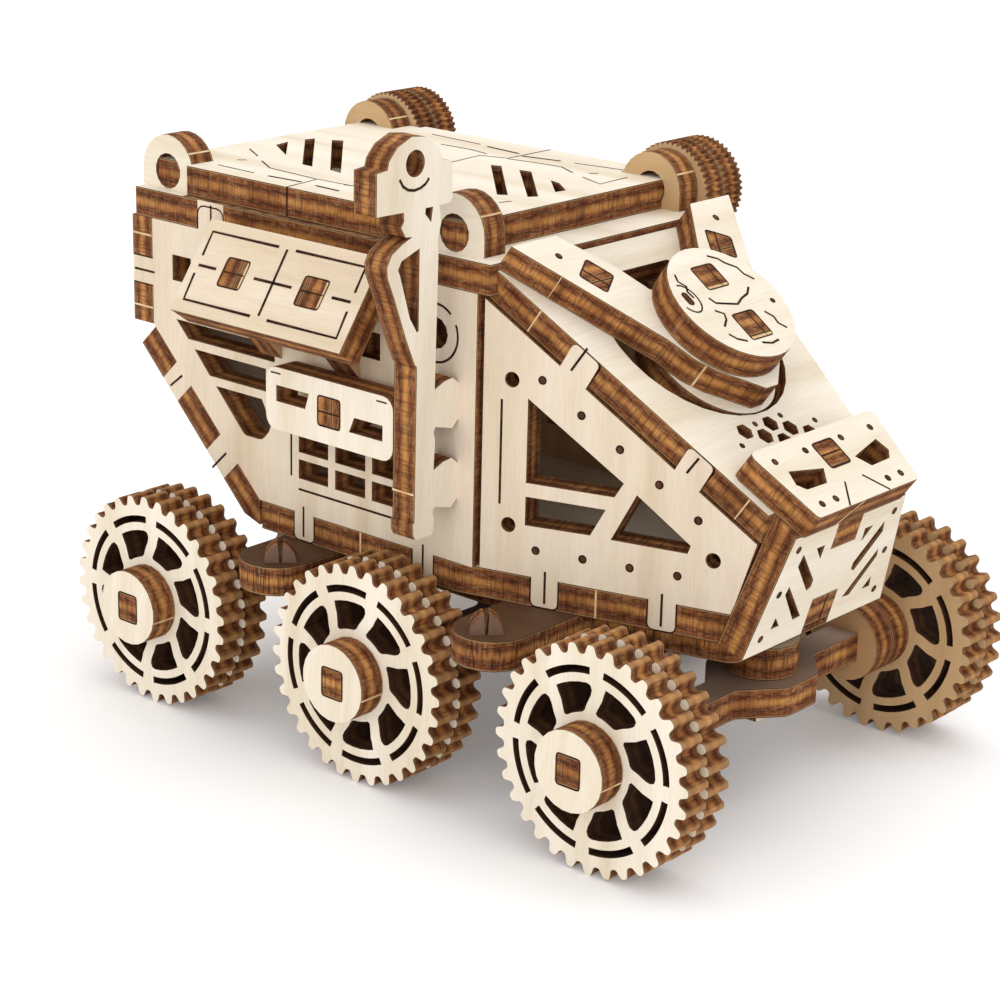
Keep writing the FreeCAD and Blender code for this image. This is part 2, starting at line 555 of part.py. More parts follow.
for name, shape in made.items():
    solids = shape.Solids
    if not shape.isValid() or not solids:
        print("BAD", name, shape.isValid(), len(solids))
    out = Part.makeCompound(solids) if len(solids) > 1 else solids[0]
    out.translate(V(AHEAD, 0, 0))
    out.exportStep("parts/" + name + ".step")
    b = out.BoundBox
    print("%-24s %2d solids  x %.1f..%.1f y %.1f..%.1f z %.1f..%.1f vol %.0f" % (
        name, len(solids), b.XMin, b.XMax, b.YMin, b.YMax, b.ZMin, b.ZMax, out.Volume))
print("nodes", len(made), "volume", sum(s.Volume for s in made.values()))
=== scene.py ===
import math

import bmesh
import bpy
from mathutils import Matrix, Vector
from mathutils.geometry import tessellate_polygon


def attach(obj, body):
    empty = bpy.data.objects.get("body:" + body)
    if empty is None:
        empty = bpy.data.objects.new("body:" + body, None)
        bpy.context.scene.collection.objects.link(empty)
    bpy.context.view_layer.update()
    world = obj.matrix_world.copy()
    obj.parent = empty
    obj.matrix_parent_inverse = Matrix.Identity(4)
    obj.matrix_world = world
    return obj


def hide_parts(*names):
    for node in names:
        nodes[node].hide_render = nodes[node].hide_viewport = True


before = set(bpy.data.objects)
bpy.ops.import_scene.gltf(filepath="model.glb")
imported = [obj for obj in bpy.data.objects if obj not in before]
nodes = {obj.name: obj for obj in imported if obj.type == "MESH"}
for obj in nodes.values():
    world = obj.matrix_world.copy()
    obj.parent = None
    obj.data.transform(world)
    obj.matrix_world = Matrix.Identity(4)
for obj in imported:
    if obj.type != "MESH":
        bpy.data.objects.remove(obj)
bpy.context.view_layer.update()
print("frame loaded:", len(nodes), "nodes")

# Sizes here are millimetres, from the middle axle; ahead is how far that axle
# stands in front of the origin.
ahead = 0.66
ply = 4.0
bothSides = ("right", "left")
axles = {"rear": -39.0, "middle": 0.0, "front": 39.0}
axleZ = 14.8
discFaces = {"inner": 27.0, "outer": 31.0, "cap": 35.0}  # inward faces, out from the middle
rings = {"rear": -48.4, "front": 4.2}
ringZ = 71.45
wallY = 23.8
roofBase = 65.0
cabX = 7.6
cabTurn = math.atan(0.2634)
slope = {"angle": math.radians(35.5), "base": 58.6, "ply": 3.85}
nose = {"lean": math.radians(16.25), "foot": (46.7, 0, 24.8)}
tilt = math.radians(35.0)


def mm(x, y, z):
    return Vector(((x + ahead) / 1000, y / 1000, z / 1000))


def hexColour(text):
    def linear(c):
        return c / 12.92 if c <= 0.04045 else ((c + 0.055) / 1.055) ** 2.4
    return tuple(linear(int(text[i:i + 2], 16) / 255) for i in (0, 2, 4)) + (1.0,)


# adds a node with its settings; an input takes a plain value, a socket or another node
def addNode(tree, kind, inputs=None, **settings):
    node = tree.nodes.new(kind)
    for key, value in settings.items():
        setattr(node, key, value)
    for key, value in (inputs or {}).items():
        if isinstance(value, bpy.types.Node):
            value = next(socket for socket in value.outputs if socket.enabled)
        if isinstance(value, bpy.types.NodeSocket):
            tree.links.new(value, node.inputs[key])
        else:
            node.inputs[key].default_value = value
    return node


def setStops(band, stops):
    while len(band.elements) < len(stops):
        band.elements.new(0.5)
    for element, (at, colour) in zip(band.elements, stops):
        element.position = at
        element.color = hexColour(colour)


# The finish of laser-cut birch ply. The face is pale with fine grain; wherever
# the surface turns away from the sheet's normal it is a cut edge, which shows
# the veneers, the browned glue lines and the fine marks of the beam across them.
plyLook = {
    "faceLight": "F4EADA", "faceMid": "EDE2CF", "faceDark": "E2D3BA", "fleck": "C8AE88", "tone": "C9A676",
    # the next two colours are painted shade, for faces that turn inwards and for sheets under the body
    "paintedShade": "D2B48A", "paintedShadeTint": "95A1E4",
    "rim": "CFA574", "gold": "B97F42", "brown": "8A4F28", "deep": "562B13", "scorch": "22110A",
    "patch": "8C5530", "tip": "BF9260", "skin": "CFA873", "inside": "2C1910",
}
# where the veneers and their glue lines lie through one sheet
plyLayers = [(0.0, "deep"), (0.14, "brown"), (0.26, "deep"), (0.36, "brown"), (0.46, "gold"), (0.57, "gold"),
             (0.66, "brown"), (0.74, "deep"), (0.87, "brown"), (1.0, "deep")]
# each pattern's way, marks to the millimetre, detail and roughness
plyGrain = {
    "wobble": ("plain", 0.35, 2.0, 0.55), "beam": ("through", 3.4, 3.0, 0.6),
    "dashes": ("layers", 2.3, 4.0, 0.65), "patches": ("plain", 0.22, 2.0, 0.5),
    "broad": ("grain", 0.22, 2.0, 0.5), "fine": ("grain", 3.6, 4.0, 0.6),
}


def makePlyGroup():
    tree = bpy.data.node_groups.new("birchPly", "ShaderNodeTree")
    for label, way, kind in (("Sheet Normal", "INPUT", "Vector"), ("Sheet Level", "INPUT", "Float"),
                             ("Sheet Depth", "INPUT", "Float"), ("Grain Along", "INPUT", "Vector"),
                             ("Char", "INPUT", "Float"), ("Tone", "INPUT", "Float"),
                             ("Painted Shade", "INPUT", "Float"), ("Colour", "OUTPUT", "Color"),
                             ("Roughness", "OUTPUT", "Float"), ("Height", "OUTPUT", "Float")):
        tree.interface.new_socket(label, in_out=way, socket_type="NodeSocket" + kind)
    given = addNode(tree, "NodeGroupInput").outputs
    coord = addNode(tree, "ShaderNodeTexCoord").outputs
    normal = given["Sheet Normal"]
    place = addNode(tree, "ShaderNodeVectorMath", {0: coord["Object"], "Scale": 1000.0}, operation="SCALE")

    # a face or a cut edge, and how far through the sheet
    facing = addNode(tree, "ShaderNodeVectorMath", {0: coord["Normal"], 1: normal}, operation="DOT_PRODUCT")
    flat = addNode(tree, "ShaderNodeMath", {0: facing}, operation="ABSOLUTE")
    isFace = addNode(tree, "ShaderNodeMapRange", {"Value": flat, "From Min": 0.72, "From Max": 0.86})
    depth = addNode(tree, "ShaderNodeVectorMath", {0: place, 1: normal}, operation="DOT_PRODUCT")
    level = addNode(tree, "ShaderNodeMath", {0: depth}, operation="ABSOLUTE")
    level = addNode(tree, "ShaderNodeMath", {0: level, 1: given["Sheet Level"]}, operation="SUBTRACT")
    share = addNode(tree, "ShaderNodeMath", {0: level, 1: given["Sheet Depth"]}, operation="DIVIDE")
    share = addNode(tree, "ShaderNodeMath", {0: share}, operation="FRACT")
    rest = addNode(tree, "ShaderNodeMath", {0: 1.0, 1: share}, operation="SUBTRACT")
    nearRim = addNode(tree, "ShaderNodeMath", {0: share, 1: rest}, operation="MINIMUM")

    # the ways that patterns are drawn out: through the sheet, along its layers and along its grain
    ways = {"plain": place}
    for way, axis, size, stretch in (("through", normal, 1.0, -0.9), ("layers", normal, 0.35, 1.6),
                                     ("grain", given["Grain Along"], 1.0, -0.93)):
        run = addNode(tree, "ShaderNodeVectorMath", {0: place, 1: axis}, operation="DOT_PRODUCT")
        run = addNode(tree, "ShaderNodeMath", {0: run, 1: stretch}, operation="MULTIPLY")
        start = addNode(tree, "ShaderNodeVectorMath", {0: place, "Scale": size}, operation="SCALE")
        ways[way] = addNode(tree, "ShaderNodeVectorMath", {0: axis, 1: run, 2: start},
                            operation="MULTIPLY_ADD")
    marks = {}
    for name, (way, scale, detail, roughness) in plyGrain.items():
        marks[name] = addNode(tree, "ShaderNodeTexNoise", {"Vector": ways[way], "Scale": scale,
                                                           "Detail": detail, "Roughness": roughness})
    wobble = addNode(tree, "ShaderNodeMapRange", {"Value": marks["wobble"], "To Min": -0.08, "To Max": 0.08})
    bent = addNode(tree, "ShaderNodeMath", {0: share, 1: wobble}, operation="ADD")
    veneers = addNode(tree, "ShaderNodeValToRGB", {"Fac": bent})
    setStops(veneers.color_ramp, [(at, plyLook[colour]) for at, colour in plyLayers])
    board = addNode(tree, "ShaderNodeValToRGB", {"Fac": marks["broad"]})
    setStops(board.color_ramp, [(0.30, plyLook["faceDark"]), (0.5, plyLook["faceMid"]),
                                (0.70, plyLook["faceLight"])])
    # painted highlight on the tooth tips, and painted shade on the walls of windows and slots
    tip = addNode(tree, "ShaderNodeAttribute", attribute_name="tip").outputs["Fac"]
    inside = addNode(tree, "ShaderNodeAttribute", attribute_name="inside").outputs["Fac"]
    # painted shade: faces that turn inwards, against the sheet's outward side, are browned
    under = addNode(tree, "ShaderNodeMath", {0: depth}, operation="SIGN")
    under = addNode(tree, "ShaderNodeMath", {0: under, 1: facing}, operation="MULTIPLY")
    under = addNode(tree, "ShaderNodeMath", {0: under, 1: 0.0}, operation="LESS_THAN")
    under = addNode(tree, "ShaderNodeMath", {0: under, 1: 0.9}, operation="MULTIPLY")
    paintedShadeAmount = addNode(tree, "ShaderNodeMath", {0: under, 1: given["Painted Shade"]}, operation="MAXIMUM")

    # cut edge: a pale rim of face veneer under a burnt line, browner veneers inside
    edgeLayers = [
        (marks["dashes"], 0.45, 0.70, 0.0, 0.42, "rim", "MIX"),
        (marks["beam"], 0.45, 0.63, 0.0, given["Char"], "scorch", "MIX"),
        (marks["patches"], 0.42, 0.62, 0.0, 0.5, "patch", "MULTIPLY"),
        (tip, 0.0, 1.0, 0.0, 0.5, "tip", "MIX"),
        (nearRim, 0.045, 0.075, 0.4, 0.0, "skin", "MIX"),
        (nearRim, 0.015, 0.035, 0.9, 0.0, "scorch", "MIX"),
        (inside, 0.0, 1.0, 0.0, 0.82, "inside", "MIX"),
    ]
    # face: long fine grain, a few pores, broad soft bands, then the painted shade
    faceLayers = [
        (marks["fine"], 0.36, 0.62, 0.13, 0.0, "fleck", "MULTIPLY"),
        (given["Tone"], 0.0, 1.0, 0.0, 1.0, "tone", "MULTIPLY"),
        (paintedShadeAmount, 0.0, 1.0, 0.0, 1.0, "paintedShade", "MULTIPLY"),
        (given["Painted Shade"], 0.0, 1.0, 0.0, 1.0, "paintedShadeTint", "MULTIPLY"),
    ]
    stacks = []
    for colour, layers in ((veneers, edgeLayers), (board, faceLayers)):
        for drive, low, high, start, stop, shade, how in layers:
            amount = addNode(tree, "ShaderNodeMapRange", {"Value": drive, "From Min": low, "From Max": high,
                                                          "To Min": start, "To Max": stop})
            colour = addNode(tree, "ShaderNodeMix", {0: amount, 6: colour, 7: hexColour(plyLook[shade])},
                             data_type="RGBA", blend_type=how)
        stacks.append(colour)
    colour = addNode(tree, "ShaderNodeMix", {0: isFace, 6: stacks[0], 7: stacks[1]}, data_type="RGBA")
    height = addNode(tree, "ShaderNodeMix", {0: isFace, 6: marks["beam"], 7: marks["fine"]}, data_type="RGBA")
    roughness = addNode(tree, "ShaderNodeMapRange", {"Value": isFace, "To Min": 0.85, "To Max": 0.62})
    addNode(tree, "NodeGroupOutput", {"Colour": colour, "Roughness": roughness, "Height": height})
    return tree


plyGroup = makePlyGroup()


# Level is where a sheet's inner face is, counted along its normal; char is how burnt its edges are,
# tone how brown its face is, and the last argument how much painted shade darkens it.
def plyMaterial(name, normal, level, grain, char=0.5, tone=0.0, depth=ply, paintedShade=0.0):
    material = bpy.data.materials.new(name)
    material.use_nodes = True
    tree = material.node_tree
    tree.nodes.clear()
    look = addNode(tree, "ShaderNodeGroup", {
        "Sheet Normal": Vector(normal).normalized(), "Sheet Level": level, "Sheet Depth": depth,
        "Grain Along": Vector(grain).normalized(), "Char": char, "Tone": tone, "Painted Shade": paintedShade,
    }, node_tree=plyGroup).outputs
    bump = addNode(tree, "ShaderNodeBump", {"Height": look["Height"], "Strength": 0.3, "Distance": 0.0002})
    shader = addNode(tree, "ShaderNodeBsdfPrincipled", {"Base Color": look["Colour"], "Normal": bump,
                                                        "Roughness": look["Roughness"],
                                                        "Specular IOR Level": 0.2})
    addNode(tree, "ShaderNodeOutputMaterial", {"Surface": shader})
    return material


# Soft two-tone finish for burnt lines and bare veneer: matt, with marks of about a millimetre.
def speckled(name, dark, light, marksPerMm, roughness):
    material = bpy.data.materials.new(name)
    material.use_nodes = True
    tree = material.node_tree
    tree.nodes.clear()
    coord = addNode(tree, "ShaderNodeTexCoord").outputs
    grain = addNode(tree, "ShaderNodeTexNoise", {"Vector": coord["Object"], "Scale": marksPerMm * 1000,
                                                 "Detail": 3.0})
    band = addNode(tree, "ShaderNodeValToRGB", {"Fac": grain})
    setStops(band.color_ramp, [(0.38, dark), (0.66, light)])
    shader = addNode(tree, "ShaderNodeBsdfPrincipled", {"Base Color": band, "Roughness": roughness,
                                                        "Specular IOR Level": 0.15})
    addNode(tree, "ShaderNodeOutputMaterial", {"Surface": shader})
    return material


burntLine = speckled("burnt wood in the beam's line", "1C0F08", "4A2A18", 0.9, 0.9)  # near black, no shine
paintedHoleShade = speckled("painted shade in a pin hole", "4A2C1C", "6B4530", 0.9, 0.9)  # painted shade of the hole, a soft brown middle
paintedStepShade = speckled("painted shade along the roof's step", "5A3822", "9A7048", 0.5, 0.85)  # painted shade, brown, fading in spots
bareVeneer = speckled("bare veneer where a bridge was cut", "CDA877", "E6CFA6", 0.7, 0.7)  # fresh pale wood


# dresses every CAD node whose name begins so
def dress(starts, material):
    for name in nodes:
        if name.startswith(starts):
            mesh = nodes[name].data
            mesh.materials.clear()
            mesh.materials.append(material)


slopeNormal = Vector((math.sin(slope["angle"]), 0, math.cos(slope["angle"])))
slopeDown = Vector((math.cos(slope["angle"]), 0, -math.sin(slope["angle"])))
noseNormal = Vector((math.cos(nose["lean"]), 0, -math.sin(nose["lean"])))
noseRise = Vector((math.sin(nose["lean"]), 0, math.cos(nose["lean"])))

# Sheets lying flat: the upper ones are pale on top; the lower ones, under the body, are darkened with painted
# shade.
dress("axle_beam", plyMaterial("birch ply lying flat, axle beams", (0, 0, 1), 12.8, (0, 1, 0),
                               tone=0.6, paintedShade=0.6))
dress("axle_bosses", plyMaterial("birch ply lying flat, bosses", (0, 0, 1), 16.8, (1, 0, 0),
                                 depth=4.4, char=0.65))
dress("underfloor_plate", plyMaterial("birch ply lying flat, underfloor", (0, 0, 1), 21.2, (1, 0, 0),
                                      tone=1.0, char=0.8, paintedShade=1.0))
dress("ear_clips", plyMaterial("birch ply, plugs of the ears", (0, 0, 1), 21.2, (1, 0, 0),
                               tone=1.0, char=0.8, paintedShade=1.0))
dress("floor_plate", plyMaterial("birch ply lying flat, floor", (0, 0, 1), 25.2, (1, 0, 0)))
roofFinish = plyMaterial("birch ply lying flat, roof", (0, 0, 1), roofBase, (1, 0, 0))
dress("roof_lower", roofFinish)

# Sheets standing upright: a shade warmer, with the grain up and down and brown cut edges.
dress("axle_collars", plyMaterial("birch ply, axle collars", (0, 1, 0), 19.0, (1, 0, 0.2), tone=0.45))
dress("hub_caps", plyMaterial("birch ply, hub caps", (0, 1, 0), discFaces["cap"], (0.1, 0, 1), tone=0.1))
dress("side_wall", plyMaterial("birch ply upright, side walls", (0, 1, 0), wallY - ply, (0, 0, 1), tone=0.25))
dress("rear_wall", plyMaterial("birch ply upright, rear wall", (1, 0, 0), 49.6 - ahead, (0, 0, 1)))
dress("lower_panel", plyMaterial("birch ply upright, lower panels", (0, 1, 0), 25.5, (0, 0, 1)))
dress("mast", plyMaterial("birch ply, mast", (1, 0, 0), 3.4 + ahead, (0, 0.1, 1), depth=3.8))
dress("shaft_rings", plyMaterial("birch ply, roof rings", (0, 1, 0), 17.8, (1, 0, 0)))

# Sheets set at a slant show their veneers square to their own face.
dress("chamfer_plate", plyMaterial("birch ply, sloping rear plate", (1, 0, 1), -0.85, (1, 0, -1)))
slopeFinish = plyMaterial("birch ply, sloping front", slopeNormal, slope["base"] + ahead * slopeNormal.x,
                          (0, 1, 0), depth=slope["ply"])
dress(("windshield_plate", "fork_plate", "globe_disc", "nose_cap"), slopeFinish)
noseFoot = Vector(nose["foot"]) + Vector((ahead, 0, 0))
dress("nose_front", plyMaterial("birch ply, nose plate", noseNormal, noseNormal.dot(noseFoot) - ply,
                                (0, 1, 0)))
cabFinish = {}
for side, sign in (("right", -1), ("left", 1)):
    cabNormal = (math.sin(cabTurn), sign * math.cos(cabTurn), 0)
    outer = Vector(cabNormal).dot(mm(cabX, sign * wallY, 0)) * 1000
    cabFinish[side] = plyMaterial("birch ply upright, cab side " + side, cabNormal, outer - ply, (0, 0, 1),
                                  char=0.7, tone=0.25)
    dress("tilted_panel_" + side, plyMaterial("birch ply, tilted panel " + side,
                                              (0, sign * math.cos(tilt), math.sin(tilt)),
                                              wallY * math.cos(tilt) + roofBase * math.sin(tilt),
                                              (1, 0, 0), tone=0.25))

# Pegs show their end grain, and the prongs in the ears are darkened with painted shade.
dress(("panel_brackets", "lower_post", "beam_pins"),
      plyMaterial("end grain of upright pieces", (1, 0, 0), 0.9, (0, 0, 1), char=0.35))
dress("slope_pegs", plyMaterial("end grain of the slope's pegs", slopeDown, 13.4, (0, 1, 0), char=0.35))
prongFinish = plyMaterial("birch ply, prongs of the ear clips", (1, -1, 0), 1.2, (0, 0, 1),
                          char=0.6, tone=0.8, paintedShade=0.8)
print("CAD nodes finished")


# Placing drawings and discs: a plan in millimetres, u, v and w, put on the object.
def plane(origin, u, v):
    u = Vector(u).normalized()
    v = Vector(v).normalized()
    return Vector(origin), u, v, u.cross(v)


# planes are drawn for the right side, and mirrored for the left
def onSide(at, side):
    return at if side == "right" else tuple(Vector((a.x, -a.y, a.z)) for a in at)


# puts a plan's mesh in its place on the object
def settle(piece, at):
    origin, u, v, w = at
    turn = Matrix((u, v, w)).transposed()
    piece.data.transform(Matrix.Translation(mm(*origin)) @ turn.to_4x4() @ Matrix.Scale(0.001, 4))
    if turn.determinant() < 0:
        piece.data.flip_normals()
    return piece


planes = {
    "cab": plane((cabX, -wallY, 0), (math.cos(cabTurn), math.sin(cabTurn), 0), (0, 0, 1)),
    "wall": plane((0, -wallY, 0), (1, 0, 0), (0, 0, 1)),
    "cap": plane((0, -discFaces["cap"] - ply, 0), (1, 0, 0), (0, 0, 1)),
    "panel": plane(Vector((0, -wallY, roofBase)) + Vector((0, -math.cos(tilt), math.sin(tilt))) * ply,
                   (1, 0, 0), (0, math.sin(tilt), math.cos(tilt))),
    "lowPanel": plane((0, -29.5, 0), (1, 0, 0), (0, 0, 1)),
    "roof": plane((0, 0, roofBase + 2 * ply), (1, 0, 0), (0, 1, 0)),
    "roofLower": plane((0, 0, roofBase + ply), (1, 0, 0), (0, 1, 0)),
    "roofEdge": plane((0, -22.7, 0), (1, 0, 0), (0, 0, 1)),
    "mast": plane((7.2, 0, 0), (0, 1, 0), (0, 0, 1)),
    "nose": plane(nose["foot"], (0, 1, 0), noseRise),
}
for number, name in enumerate(("shield", "fork", "globe")):
    planes[name] = plane(slopeNormal * (slope["base"] + (number + 1) * slope["ply"]), slopeDown, (0, 1, 0))


def newPiece(name, mesh):
    piece = bpy.data.objects.new(name, mesh)
    bpy.context.scene.collection.objects.link(piece)
    return piece


# runs a Geometry Nodes tree over a plan mesh and keeps the result as a plain mesh
def runTree(name, tree, values, plan):
    holder = newPiece(name + "Plan", plan)
    modifier = holder.modifiers.new("shape", "NODES")
    modifier.node_group = tree
    for item in tree.interface.items_tree:
        if item.item_type == "SOCKET" and item.in_out == "INPUT" and item.name in values:
            modifier[item.identifier] = values[item.name]
    graph = bpy.context.evaluated_depsgraph_get()
    mesh = bpy.data.meshes.new_from_object(holder.evaluated_get(graph), preserve_all_data_layers=True,
                                           depsgraph=graph)
    bpy.data.objects.remove(holder)
    mesh.name = name
    return newPiece(name, mesh)


def newTree(name, sockets):
    tree = bpy.data.node_groups.new(name, "GeometryNodeTree")
    tree.interface.new_socket("Geometry", in_out="INPUT", socket_type="NodeSocketGeometry")
    for label, kind in sockets:
        tree.interface.new_socket(label, in_out="INPUT", socket_type="NodeSocket" + kind)
    tree.interface.new_socket("Geometry", in_out="OUTPUT", socket_type="NodeSocketGeometry")
    return tree, addNode(tree, "NodeGroupInput").outputs


def finishTree(tree, geometry, material):
    solid = addNode(tree, "GeometryNodeRealizeInstances", {0: geometry})
    dressed = addNode(tree, "GeometryNodeSetMaterial", {"Geometry": solid, "Material": material})
    addNode(tree, "NodeGroupOutput", {0: dressed})
    return tree


def planMesh(name, points, edges=()):
    mesh = bpy.data.meshes.new(name + "Plan")
    mesh.from_pydata([(u, v, 0.0) for u, v in points], list(edges), [])
    return mesh


# Lines that the beam burnt without cutting through: each path becomes a flat dark
# strip that lies in the face.
def makeLineTree():
    tree, given = newTree("burntLines", [("Width", "Float"), ("Proud", "Float"), ("Material", "Material")])
    curve = addNode(tree, "GeometryNodeMeshToCurve", {"Mesh": given["Geometry"]})
    level = addNode(tree, "GeometryNodeSetCurveNormal", {"Curve": curve}, mode="Z_UP")
    thick = addNode(tree, "ShaderNodeMath", {0: given["Proud"], 1: 0.06}, operation="ADD")
    profile = addNode(tree, "GeometryNodeCurvePrimitiveQuadrilateral", {"Width": given["Width"],
                                                                        "Height": thick})
    strip = addNode(tree, "GeometryNodeCurveToMesh", {"Curve": level, "Profile Curve": profile,
                                                      "Fill Caps": True})
    return finishTree(tree, strip, given["Material"])


lineTree = makeLineTree()


# burns lines on a face; each path is a list of (u, v) points
def burn(name, at, paths, width=0.38, material=burntLine, proud=0.03, sides=("right",)):
    points = []
    edges = []
    for path in paths:
        first = len(points)
        points.extend(path)
        edges.extend((first + i, first + i + 1) for i in range(len(path) - 1))
    for side in sides:
        piece = runTree(name + ("Left" if side == "left" else ""), lineTree,
                        {"Width": width, "Proud": proud, "Material": material}, planMesh(name, points, edges))
        settle(piece, onSide(at, side))
        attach(piece, "buggy")


# Pin holes that the beam left: a small disc at each point, with a dark burnt rim and a browner core of
# painted shade.
pinHole = {"rim": (1.0, 0.05, burntLine), "core": (0.62, 0.08, paintedHoleShade)}


def makeDotTree():
    tree, given = newTree("pinHoles", [("Radius", "Float"), ("Proud", "Float"), ("Material", "Material")])
    disc = addNode(tree, "GeometryNodeMeshCylinder", {"Vertices": 14, "Radius": given["Radius"],
                                                      "Depth": given["Proud"]})
    placed = addNode(tree, "GeometryNodeInstanceOnPoints", {"Points": given["Geometry"], "Instance": disc})
    return finishTree(tree, placed, given["Material"])


dotTree = makeDotTree()


def pinHoles(name, at, points, radius, sides=("right",)):
    for side in sides:
        for part, ending in (("rim", ""), ("core", "Core")):
            share, proud, material = pinHole[part]
            piece = runTree(name + ending + ("Left" if side == "left" else ""), dotTree,
                            {"Radius": radius * share, "Proud": proud, "Material": material},
                            planMesh(name, points))
            settle(piece, onSide(at, side))
            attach(piece, "buggy")


# Outlines: a point's third number rounds its corner.
def rounded(points, steps=5):
    ring = []
    for i, p in enumerate(points):
        if len(p) < 3:
            ring.append((p[0], p[1]))
            continue
        here = Vector(p[:2])
        back = (Vector(points[i - 1][:2]) - here).normalized()
        on = (Vector(points[(i + 1) % len(points)][:2]) - here).normalized()
        half = back.angle(on) / 2
        centre = here + (back + on).normalized() * (p[2] / math.sin(half))
        start = here + back * (p[2] / math.tan(half)) - centre
        stop = here + on * (p[2] / math.tan(half)) - centre
        # slerp turns the arm and gives it back one long
        ring.extend(tuple(centre + start.slerp(stop, k / steps) * p[2]) for k in range(steps + 1))
    return ring


def arcPoints(u, v, r, start, stop, steps=12):
    turns = [math.radians(start + (stop - start) * k / steps) for k in range(steps + 1)]
    return [(u + r * math.cos(a), v + r * math.sin(a)) for a in turns]


def circlePoints(u, v, r, count=28):
    return arcPoints(u, v, r, 0, 360, count)[:-1]


# the closed kerf round a peg, and the open one round a tab that comes up from an edge
def pegKerf(u0, v0, u1, v1, r=0.45):
    ring = rounded([(u0, v0, r), (u1, v0, r), (u1, v1, r), (u0, v1, r)], 3)
    return ring + ring[:1]


def tabKerf(u0, u1, low, high, r=0.8):
    return rounded([(u0, high), (u0, low, r), (u1, low, r), (u1, high)], 3)


def mirrored(points):
    return list(points) + [(-u, v) for u, v in points]


def acrossPoints(points):
    return list(points) + [(u, -v) for u, v in points]


def closedPiece(name, made, material):
    bmesh.ops.recalc_face_normals(made, faces=made.faces)
    mesh = bpy.data.meshes.new(name)
    made.to_mesh(mesh)
    made.free()
    mesh.materials.append(material)
    return newPiece(name, mesh)


# A piece of sheet with holes: its plan lies in the plane and its depth goes down from it.
def plateSolid(name, at, outline, holes, depth, material, side="right"):
    outlines = [[Vector((u, v, 0)) for u, v in ring] for ring in [outline] + holes]
    made = bmesh.new()
    top = [made.verts.new(p) for ring in outlines for p in ring]
    low = [made.verts.new((p.x, p.y, -depth)) for ring in outlines for p in ring]
    for tri in tessellate_polygon(outlines):
        made.faces.new([top[i] for i in tri])
        made.faces.new([low[i] for i in reversed(tri)])
    first = 0
    for ring in outlines:
        for i in range(len(ring)):
            j = (i + 1) % len(ring)
            made.faces.new((top[first + i], low[first + i], low[first + j], top[first + j]))
        first += len(ring)
    piece = settle(closedPiece(name, made, material), onSide(at, side))
    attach(piece, "buggy")
    return piece


# Upper roof: two plates that meet on a wandering line, with a tab into each ring.
roofPlates = {
    "split": [(-24.4, -22.7), (-25.2, -16.2), (-19.0, -16.0), (-21.5, 12.1), (-17.5, 13.4), (-17.5, 22.7)],
    "gap": 0.05, "splitWidth": 0.2, "edgeWidth": 0.25, "edgeLine": [(-24.4, 69.1), (-24.4, 73.0)],
    "front": [(-2.9, 22.7), (-2.9, 21.5), (-0.9, 21.5), (-0.9, 17.78), (2.0, 17.78), (2.0, 21.7), (6.2, 21.7),
              (6.2, -21.6), (2.0, -21.6), (2.0, -17.78), (-0.9, -17.78), (-0.9, -22.7)],
    "rear": [(-41.5, 22.7), (-41.5, 21.5), (-43.6, 21.5), (-43.6, 17.78), (-46.3, 17.78), (-46.3, 21.7),
             (-50.5, 21.7), (-50.5, -21.6), (-46.3, -21.6), (-46.3, -17.78), (-43.6, -17.78), (-43.6, -22.7)],
    "frontHoles": [[(-16.0, 8.1), (-14.6, 8.7), (-1.3, -5.3), (-2.4, -6.2)],
                   [(-11.1, 8.4), (-9.2, 8.7), (2.0, -3.1), (1.2, -4.3)],
                   [(-3.7, 6.2), (-1.7, 5.6), (2.0, 2.6), (1.7, 0.7)]],
    "rearHoles": [[(-46.1, -3.5), (-46.7, -0.5), (-39.9, -7.6)],
                  [(-46.3, 2.5), (-45.9, 4.1), (-31.7, -10.7), (-33.7, -10.6)],
                  [(-43.4, 5.0), (-42.0, 5.9), (-26.0, -11.0), (-28.4, -10.6)]],
    "stepShadeStrips": [[(-43.4, -23.24), (-1.1, -23.24)], [(-41.3, 23.24), (-3.1, 23.24)]],
}
for tag, sign in (("front", 1), ("rear", -1)):
    split = [(u + sign * roofPlates["gap"], v) for u, v in roofPlates["split"]]
    plate = plateSolid("roofUpper" + tag.capitalize(), planes["roof"], split + roofPlates[tag],
                       roofPlates[tag + "Holes"], ply, roofFinish)
    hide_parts("roof_upper_" + tag, "cross_shaft_" + tag)
burn("roofSplit", planes["roof"], [roofPlates["split"]], roofPlates["splitWidth"])
burn("roofSplitEdge", planes["roofEdge"], [roofPlates["edgeLine"]], roofPlates["edgeWidth"])
# a strip of painted shade on the lower roof plate, along the edges of the upper plates
burn("roofSmokedStrip", planes["roofLower"], roofPlates["stepShadeStrips"], width=1.0,
     material=paintedStepShade, proud=0.02)

# Cab sides, with sharp-cornered windows and small round holes.
cabPlate = {
    "rear": 3.1,
    "outline": [(3.1, 29.2), (10.3, 29.2), (10.3, 25.2, 0.9), (14.2, 25.2, 0.9), (14.2, 29.2), (26.4, 29.2),
                (26.4, 25.2, 0.9), (30.3, 25.2, 0.9), (30.3, 29.2), (37.45, 29.2), (40.33, 38.74)],
    "topTabs": [(29.2, 32.5), (13.5, 17.0)], "tabRise": (1.84, 3.28), "tabCorner": 0.7,
    "windows": [[(9.3, 52.5), (22.6, 43.6), (21.4, 41.6), (9.3, 41.5)],
                [(9.3, 39.7), (20.3, 39.8), (18.3, 36.1), (9.3, 35.9)],
                [(24.4, 42.4), (31.8, 37.1), (31.4, 36.0), (21.1, 36.0)]],
    "holes": [(7.05, 54.6), (7.0, 35.6), (34.8, 35.7)], "holeRadius": 1.0,
}


